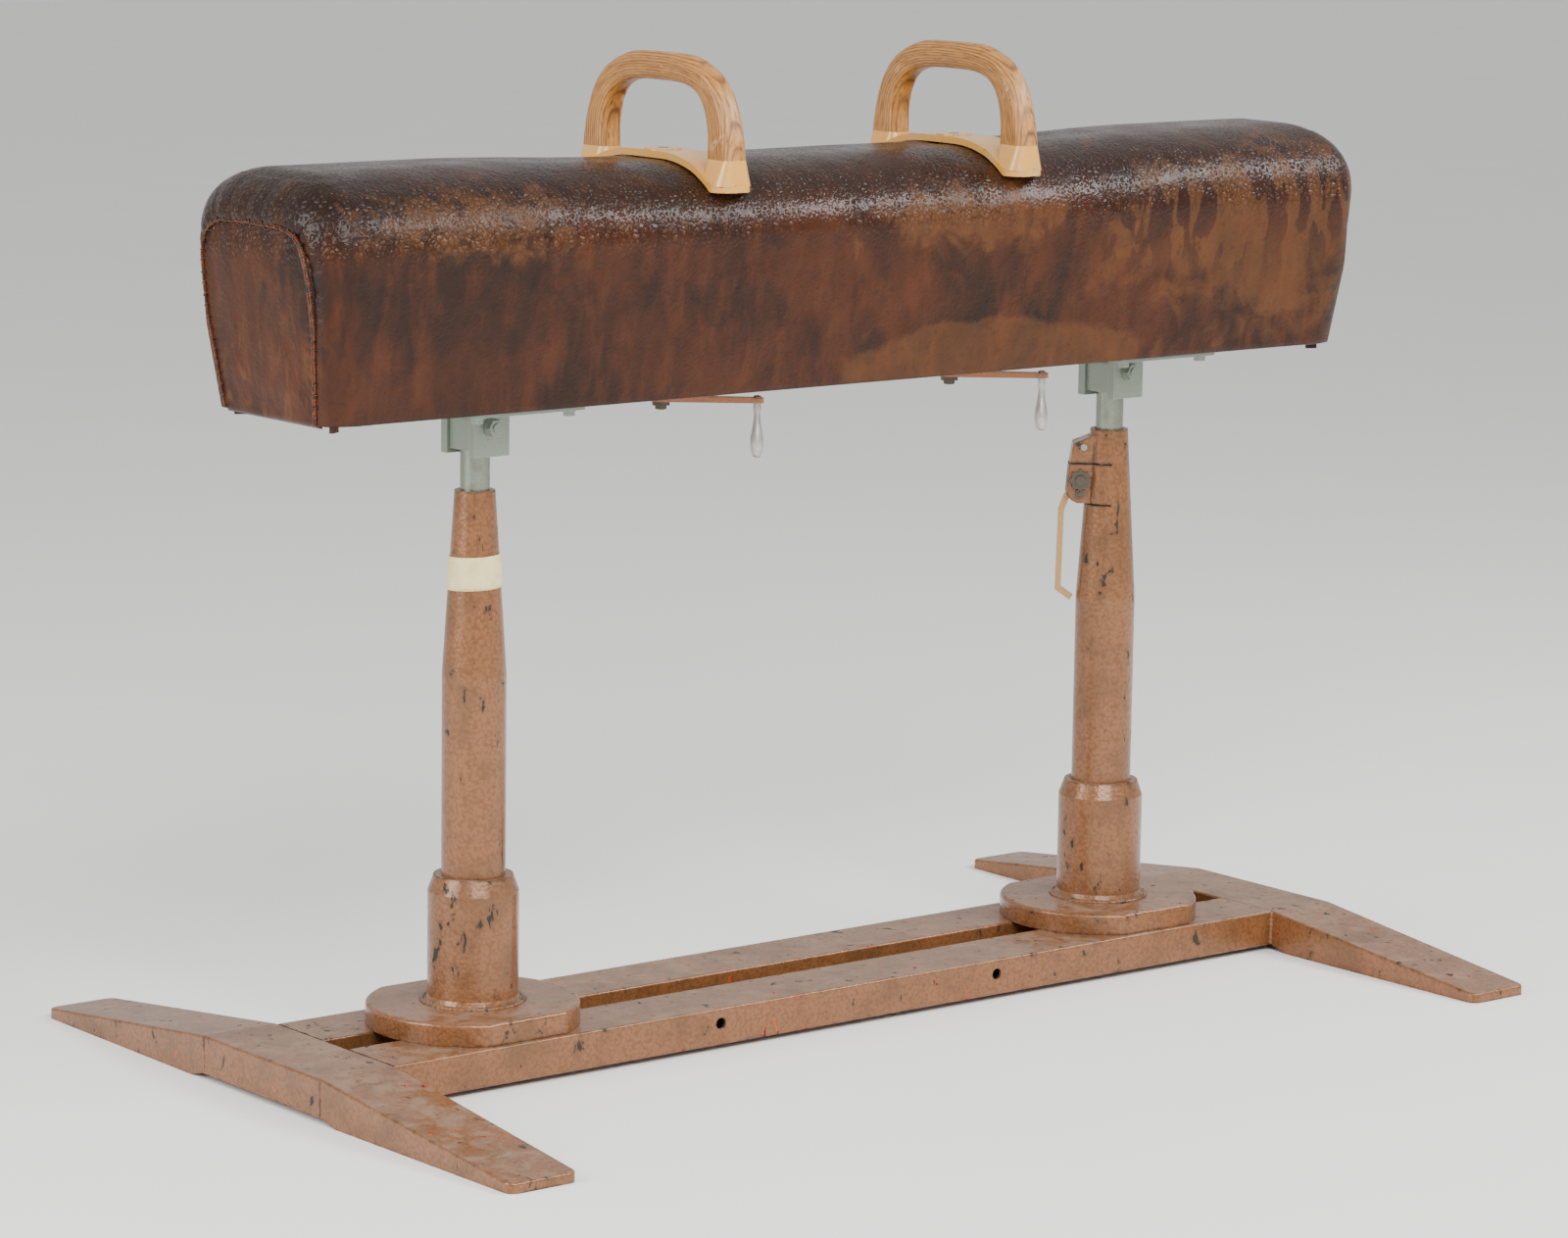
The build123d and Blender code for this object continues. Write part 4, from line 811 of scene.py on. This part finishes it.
# ---------------------------------------------------------------- wood, tape and hidden stuff
def laminated_material():
    """Bent laminated beech: thin layers along the bow, dark glue lines, open pores, an oiled polish."""
    chosen = settings().pommel
    material, tree, shader, place = new_material("laminated_beech", **{"Coat Weight": 0.15,
                                                                      "Coat Roughness": 0.3})
    low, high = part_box("pommel_grip_left")
    parts = add_node(tree, "ShaderNodeSeparateXYZ", {"Vector": warped(tree, place, 60, 0.9)})
    # the bow's layers are nested arches: a power sum of the distances across and up
    across = math_node(tree, "ABSOLUTE", math_node(tree, "DIVIDE", parts.outputs["Y"], high.y))
    up = math_node(tree, "MAXIMUM", math_node(tree, "DIVIDE", math_node(
        tree, "SUBTRACT", parts.outputs["Z"], low.z), high.z - low.z), 0.0)
    power = 3.0
    arch = math_node(tree, "POWER", math_node(tree, "ADD", math_node(tree, "POWER", across, power),
                                              math_node(tree, "POWER", up, power)), 1 / power)
    depth = math_node(tree, "MULTIPLY", arch, high.y)
    count = math_node(tree, "DIVIDE", depth, chosen.layer)
    ply = math_node(tree, "FRACT", count)
    glue = math_node(tree, "MAXIMUM", step(tree, ply, 0.26, 0.0), step(tree, ply, 0.80, 1.0))
    number = math_node(tree, "FLOOR", count)
    tint = add_node(tree, "ShaderNodeTexWhiteNoise", {"W": number}, noise_dimensions="1D").outputs["Value"]
    turn = math_node(tree, "ARCTAN2", up, across)
    along = add_node(tree, "ShaderNodeCombineXYZ", {
        "X": math_node(tree, "MULTIPLY", depth, 520.0), "Y": math_node(tree, "MULTIPLY", turn, 6.0),
        "Z": math_node(tree, "MULTIPLY", parts.outputs["X"], 260.0)})
    grain = add_node(tree, "ShaderNodeTexNoise", {"Vector": along.outputs[0], "Scale": 1.0, "Detail": 5.0,
                                                 "Roughness": 0.65}).outputs["Fac"]
    broad = cloud(tree, place, 45, 4.0, 0.6, 0.5)
    base = blend_colours(tree, step(tree, grain, 0.3, 0.72), rgba(chosen.wood_pale), rgba(chosen.wood_mid))
    base = blend_colours(tree, math_node(tree, "MULTIPLY", tint, 0.45), base, rgba(chosen.wood_mid))
    base = blend_colours(tree, math_node(tree, "MULTIPLY", glue, math_node(
        tree, "MULTIPLY_ADD", step(tree, broad, 0.3, 0.6), 0.5, 0.32)), base, rgba(chosen.wood_dark))
    pores = step(tree, grain, 0.60, 0.68)
    base = blend_colours(tree, math_node(tree, "MULTIPLY", pores, 0.7), base, rgba(chosen.wood_dark))
    pale = step(tree, cloud(tree, place, 38, 5.0, 0.7, 1.0, offset=2.5), 0.60, 0.70)
    base = blend_colours(tree, math_node(tree, "MULTIPLY", pale, 0.3), base, rgba(linear("#E9D2A8")))
    normal = bump(tree, math_node(tree, "MAXIMUM", glue, pores), -0.18)
    connect(tree, shader, base, bump(tree, grain, 0.15, normal),
            math_node(tree, "MULTIPLY_ADD", broad, 0.3, 0.32))
    return material


def tape_material():
    """Crepe-paper masking tape: matt cream, finely ribbed across, yellowed in blotches."""
    material, tree, shader, place = new_material("masking_tape", Roughness=0.75)
    age = cloud(tree, place, 20, 4.0, 0.6)
    ribs = cloud(tree, scaled(tree, place, 3.0, 3.0, 0.3), 3.0, 3.0, 0.6)
    base = blend_colours(tree, step(tree, age, 0.4, 0.75), rgba(settings().tape.paper),
                         rgba(linear("#D3BF86")))
    connect(tree, shader, base, bump(tree, ribs, 0.25))
    return material


def board_material():
    """Unfinished softwood board: pale brown, straight grain along the horse, dusty."""
    material, tree, shader, place = new_material("softwood_board", Roughness=0.75)
    grain = cloud(tree, scaled(tree, place, 0.08, 2.0, 1.0), 9, 5.0, 0.65, 0.3)
    base = blend_colours(tree, step(tree, grain, 0.3, 0.7), rgba(linear("#A47C4E")), rgba(linear("#6F4D2C")))
    connect(tree, shader, base, bump(tree, grain, 0.4))
    return material


def build_tape():
    """A band of tape round the front of the post, a little off level, rippled, with ragged top and bottom
    edges.
    """
    chosen = settings().tape
    low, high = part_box("tape_label")
    centre = sum(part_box("post_left"), Vector()) / 2
    front = centre.y - low.y + 0.3 * MM
    taper = 14 / 217  # how fast the post narrows there, in radius over height
    tall = high.z - low.z
    bm = bmesh.new()
    middle = Vector((centre.x, centre.y, (low.z + high.z) / 2))
    bmesh.ops.create_cone(bm, cap_ends=False, segments=120, radius1=front, radius2=front - taper * tall,
                          depth=tall, matrix=Matrix.Translation(middle))
    upright = [e for e in bm.edges if abs(e.verts[0].co.z - e.verts[1].co.z) > tall / 2]
    bmesh.ops.subdivide_edges(bm, edges=upright, cuts=7)
    clamp = sum(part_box("clamp_housing_left"), Vector()) / 2 - centre
    away = Vector((clamp.x, clamp.y, 0)).normalized()
    rear = [f for f in bm.faces if (f.calc_center_median() - middle).normalized().dot(away) > 0.12]
    bmesh.ops.delete(bm, geom=rear, context="FACES")
    side_way = Vector((away.y, -away.x, 0))
    for vert in bm.verts:
        out = Vector((vert.co.x - centre.x, vert.co.y - centre.y, 0))
        lift = side_way.dot(out) * math.tan(chosen.tilt)
        ripple = noise.noise(vert.co * 90)
        rim = Vector((vert.co.x * 300, vert.co.y * 300, math.copysign(2, vert.co.z - middle.z)))
        vert.co.z += lift + 0.6 * MM * noise.noise(rim)
        vert.co += out.normalized() * (0.25 * MM + 0.3 * MM * max(0.0, ripple)) - out * (taper * lift / front)
    bmesh.ops.recalc_face_normals(bm, faces=bm.faces)
    bmesh.ops.solidify(bm, geom=bm.faces[:], thickness=-0.25 * MM)
    return bm


def build_socket_beads():
    """Rippled weld beads where each socket meets its disc."""
    bead = settings().frame.bead_width
    bm = bmesh.new()
    for name in SIDES:
        low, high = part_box(f"socket_{name}")
        centre = (low + high) / 2
        radius = (high.x - low.x) / 2 - bead * 0.3
        rings = []
        for i in range(181):
            angle = 2 * math.pi * i / 180
            out = Vector((math.cos(angle), math.sin(angle), 0))
            lumps = noise.noise(Vector((out.x * 4, out.y * 4, centre.x)))
            ripple = 1 + 0.16 * math.sin(i * 2.1) + 0.2 * lumps
            point = Vector((centre.x, centre.y, low.z + 0.4 * MM)) + out * radius
            radii = (bead * 0.62 * ripple, bead * 0.5 * ripple)
            rings.append(ring_round(point, out, Vector((0, 0, 1)), radii, 8))
        sweep(bm, rings[:-1] + [rings[0]], capped=False)
    finish_mesh(bm)
    return bm


def build_frame_beads():
    """Ground-down weld seams across the feet and fillet beads where the rails meet them."""
    bead = settings().frame.bead_width
    bm = bmesh.new()
    rail_low, rail_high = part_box("rail_rear")
    x_way, y_way = Vector((1, 0, 0)), Vector((0, 1, 0))
    for name, side in SIDES.items():
        foot_low, foot_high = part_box(f"foot_{name}")
        outer_x = foot_high.x if side > 0 else foot_low.x
        inner_x = foot_low.x if side > 0 else foot_high.x
        for across in (-1, 1):
            y = across * rail_high.y
            rings = []
            for i in range(24):
                z = between(rail_low.z + 2 * MM, rail_high.z - 2 * MM, i / 23)
                fat = bead * (0.75 + 0.15 * math.sin(i * 1.9))
                rings.append(ring_round(Vector((inner_x, y, z)), x_way, y_way, (fat, fat), 8))
            sweep(bm, rings)
            rings = []
            for i in range(24):
                z = between(rail_low.z + 2 * MM, rail_high.z - 3 * MM, i / 23)
                wander = 0.6 * MM * noise.noise(Vector((z * 90, y, 0)))
                point = Vector((outer_x - side * 0.1 * MM, y + wander, z))
                rings.append(ring_round(point, x_way, y_way, (0.7 * MM, bead * 0.35), 8))
            sweep(bm, rings)
    finish_mesh(bm)
    return bm


# ---------------------------------------------------------------- operators
def paint(material, *nodes):
    """Give CAD nodes a material."""
    for name in nodes:
        held = frame["nodes"][name].data.materials
        held.clear()
        held.append(material)


def both(*stems):
    """Left and right node names of each stem."""
    return [f"{stem}_{name}" for stem in stems for name in SIDES]


class HORSE_OT_cover(bpy.types.Operator):
    """Make the leather cover with its gathers"""
    bl_idname = "horse.cover"
    bl_label = "Leather cover"

    def execute(self, context):
        material = leather_material("waxed_cowhide")
        piece = piece_from(build_cover(), "leather_skin", "horse", material)
        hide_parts("leather_cover", "padding")
        paint(material, "thong_ends", "leather_cover")
        return {"FINISHED"}


class HORSE_OT_panels(bpy.types.Operator):
    """Make the two leather end panels"""
    bl_idname = "horse.panels"
    bl_label = "End panels"

    def execute(self, context):
        material = leather_material("waxed_cowhide_panel", panel=True)
        for name, side in SIDES.items():
            piece = piece_from(build_panel(side), f"panel_{name}", "horse", material)
            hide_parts(f"end_panel_{name}")
        return {"FINISHED"}


class HORSE_OT_stitching(bpy.types.Operator):
    """Sew the end panels in: standing edges and thread"""
    bl_idname = "horse.stitching"
    bl_label = "Seams and thread"

    def execute(self, context):
        edge = raw_edge_material()
        thread = thread_material()
        for name, side in SIDES.items():
            piece_from(build_welt(side), f"seam_edges_{name}", "horse", edge)
            piece_from(build_stitches(side), f"seam_thread_{name}", "horse", thread)
        return {"FINISHED"}


class HORSE_OT_frame_finish(bpy.types.Operator):
    """Enamel the floor frame and the posts and add their weld beads"""
    bl_idname = "horse.frame_finish"
    bl_label = "Frame and posts"

    def execute(self, context):
        enamel = enamel_material("hammered_enamel")
        paint(enamel, "rail_front", "rail_rear",
              *both("foot", "base_disc", "socket", "post", "clamp_housing"))
        piece_from(build_socket_beads(), "socket_weld_beads", "posts", enamel)
        piece_from(build_frame_beads(), "frame_weld_beads", "floor_frame", enamel)
        return {"FINISHED"}


class HORSE_OT_fittings(bpy.types.Operator):
    """Finish the columns, brackets, bolts, levers and cranks"""
    bl_idname = "horse.fittings"
    bl_label = "Fittings"

    def execute(self, context):
        chosen = settings().frame
        paint(zinc_material(), *both("column_head", "pivot_bolt", "bracket", "mounting_plate", "plate_bolts",
                                     "clamp_rivets"))
        paint(steel_material("drawn_steel_tube", "zinc", 0.18, 3.0, 0.02), *both("column"))
        paint(steel_material("turned_bright_steel", "steel", 0.26, 1.2, 1.0), *both("bulb_grip"))
        paint(steel_material("oiled_steel", "dark_steel", 0.3, 4.0, 1.0),
              *both("slot_key", "clamp_plate", "slot_tie", "anchor_bolt", "slot_liner", "pommel_spindle",
                    "crank_nut", "clamp_nut"))
        paint(flat_enamel_material("tan_lever_enamel", chosen.lever, linear("#A07C44"), 1.2),
              *both("clamp_lever"))
        paint(flat_enamel_material("crank_enamel", linear("#A5663C"), linear("#7F5233"), 1.2, 14),
              *both("crank_arm"))
        paint(board_material(), "body_core", "underside_board", "padding")
        return {"FINISHED"}


class HORSE_OT_pommels(bpy.types.Operator):
    """Finish the pommels' wooden bows and cast saddles"""
    bl_idname = "horse.pommels"
    bl_label = "Pommels"

    def execute(self, context):
        chosen = settings().pommel
        paint(laminated_material(), *both("pommel_grip"))
        paint(flat_enamel_material("cream_casting_enamel", chosen.cream, chosen.cream_worn, 2.0, 30),
              *both("pommel_base"))
        return {"FINISHED"}


class HORSE_OT_tape(bpy.types.Operator):
    """Stick the band of paper tape on the left post"""
    bl_idname = "horse.tape"
    bl_label = "Paper tape"

    def execute(self, context):
        piece = piece_from(build_tape(), "tape_band", "posts", tape_material())
        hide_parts("tape_label")
        return {"FINISHED"}


def soft_light(name, place, aim, size, power):
    """A rectangular soft light at place, turned towards aim."""
    data = bpy.data.lights.new(name, "AREA")
    data.shape = "RECTANGLE"
    data.size, data.size_y = size
    data.energy = power
    lamp = bpy.data.objects.new(name, data)
    bpy.context.scene.collection.objects.link(lamp)
    lamp.location = place
    lamp.rotation_euler = (Vector(aim) - Vector(place)).to_track_quat("-Z", "Y").to_euler()


def floor_material():
    """Matt painted studio floor: almost white, with a faint roller texture."""
    material, tree, shader, place = new_material("studio_floor_paint", Roughness=0.8)
    tone = cloud(tree, place, 400, 3.0, 0.5)
    shade = blend_colours(tree, tone, rgba(settings().stage.floor), rgba(linear("#F8F8F7")))
    connect(tree, shader, shade, bump(tree, cloud(tree, place, 3), 0.1))
    return material


class HORSE_OT_stage(bpy.types.Operator):
    """Set up the floor, the lights and the camera"""
    bl_idname = "horse.stage"
    bl_label = "Stage"

    def execute(self, context):
        chosen = settings().stage
        bm = bmesh.new()
        bmesh.ops.create_grid(bm, x_segments=1, y_segments=1, size=20)
        mesh = bpy.data.meshes.new("floor")
        bm.to_mesh(mesh)
        bm.free()
        mesh.materials.append(floor_material())
        floor = bpy.data.objects.new("floor", mesh)
        context.scene.collection.objects.link(floor)
        soft_light("key_light", (-1.6, -3.6, 3.4), (0, 0, 0.8), (3.2, 2.2), chosen.key)
        soft_light("side_light", (-4.2, 0.4, 1.9), (-0.6, 0, 0.8), (2.0, 2.2), chosen.fill)
        soft_light("shoulder_light", (2.5, -2.3, 3.2), (0.1, 0, 1.0), (3.4, 0.8), chosen.back)
        world = bpy.data.worlds.new("pale_room")
        context.scene.world = world
        world.use_nodes = True
        background = world.node_tree.nodes["Background"]
        background.inputs["Color"].default_value = (1.0, 1.0, 1.0, 1.0)
        background.inputs["Strength"].default_value = chosen.ambient
        data = bpy.data.cameras.new("camera")
        data.sensor_width = 36.0
        data.sensor_fit = "HORIZONTAL"
        data.lens = chosen.focal
        data.clip_end = 100.0
        camera = bpy.data.objects.new("camera", data)
        context.scene.collection.objects.link(camera)
        turn = (Matrix.Rotation(-chosen.heading, 4, "Z") @ Matrix.Rotation(math.pi / 2 - chosen.dip, 4, "X")
                @ Matrix.Rotation(chosen.roll, 4, "Z"))
        camera.matrix_world = Matrix.Translation(Vector(chosen.eye)) @ turn
        context.scene.camera = camera
        return {"FINISHED"}


OPERATORS = (HORSE_OT_cover, HORSE_OT_panels, HORSE_OT_stitching, HORSE_OT_frame_finish, HORSE_OT_fittings,
             HORSE_OT_pommels, HORSE_OT_tape, HORSE_OT_stage)


class HORSE_PT_panel(bpy.types.Panel):
    """Buttons and settings of the pommel horse"""
    bl_idname = "HORSE_PT_panel"
    bl_label = "Pommel horse"
    bl_space_type = "VIEW_3D"
    bl_region_type = "UI"
    bl_category = "Pommel horse"

    def draw(self, context):
        for operator in OPERATORS:
            self.layout.operator(operator.bl_idname)
        chosen = context.scene.pommel_horse
        for group in (chosen.leather, chosen.frame, chosen.pommel, chosen.tape, chosen.stage):
            box = self.layout.box()
            for name in group.__annotations__:
                box.prop(group, name)


CLASSES = (LeatherSettings, FrameSettings, PommelSettings, TapeSettings, StageSettings, HorseSettings,
           *OPERATORS, HORSE_PT_panel)


def register():
    """Register every class and put the settings on the scene."""
    for kind in CLASSES:
        bpy.utils.register_class(kind)
    bpy.types.Scene.pommel_horse = PointerProperty(type=HorseSettings)


def unregister():
    """Undo register."""
    del bpy.types.Scene.pommel_horse
    for kind in reversed(CLASSES):
        bpy.utils.unregister_class(kind)


def main():
    """Make everything in order."""
    register()
    for operator in OPERATORS:
        group, name = operator.bl_idname.split(".")
        getattr(getattr(bpy.ops, group), name)()


if __name__ == "__main__":
    main()
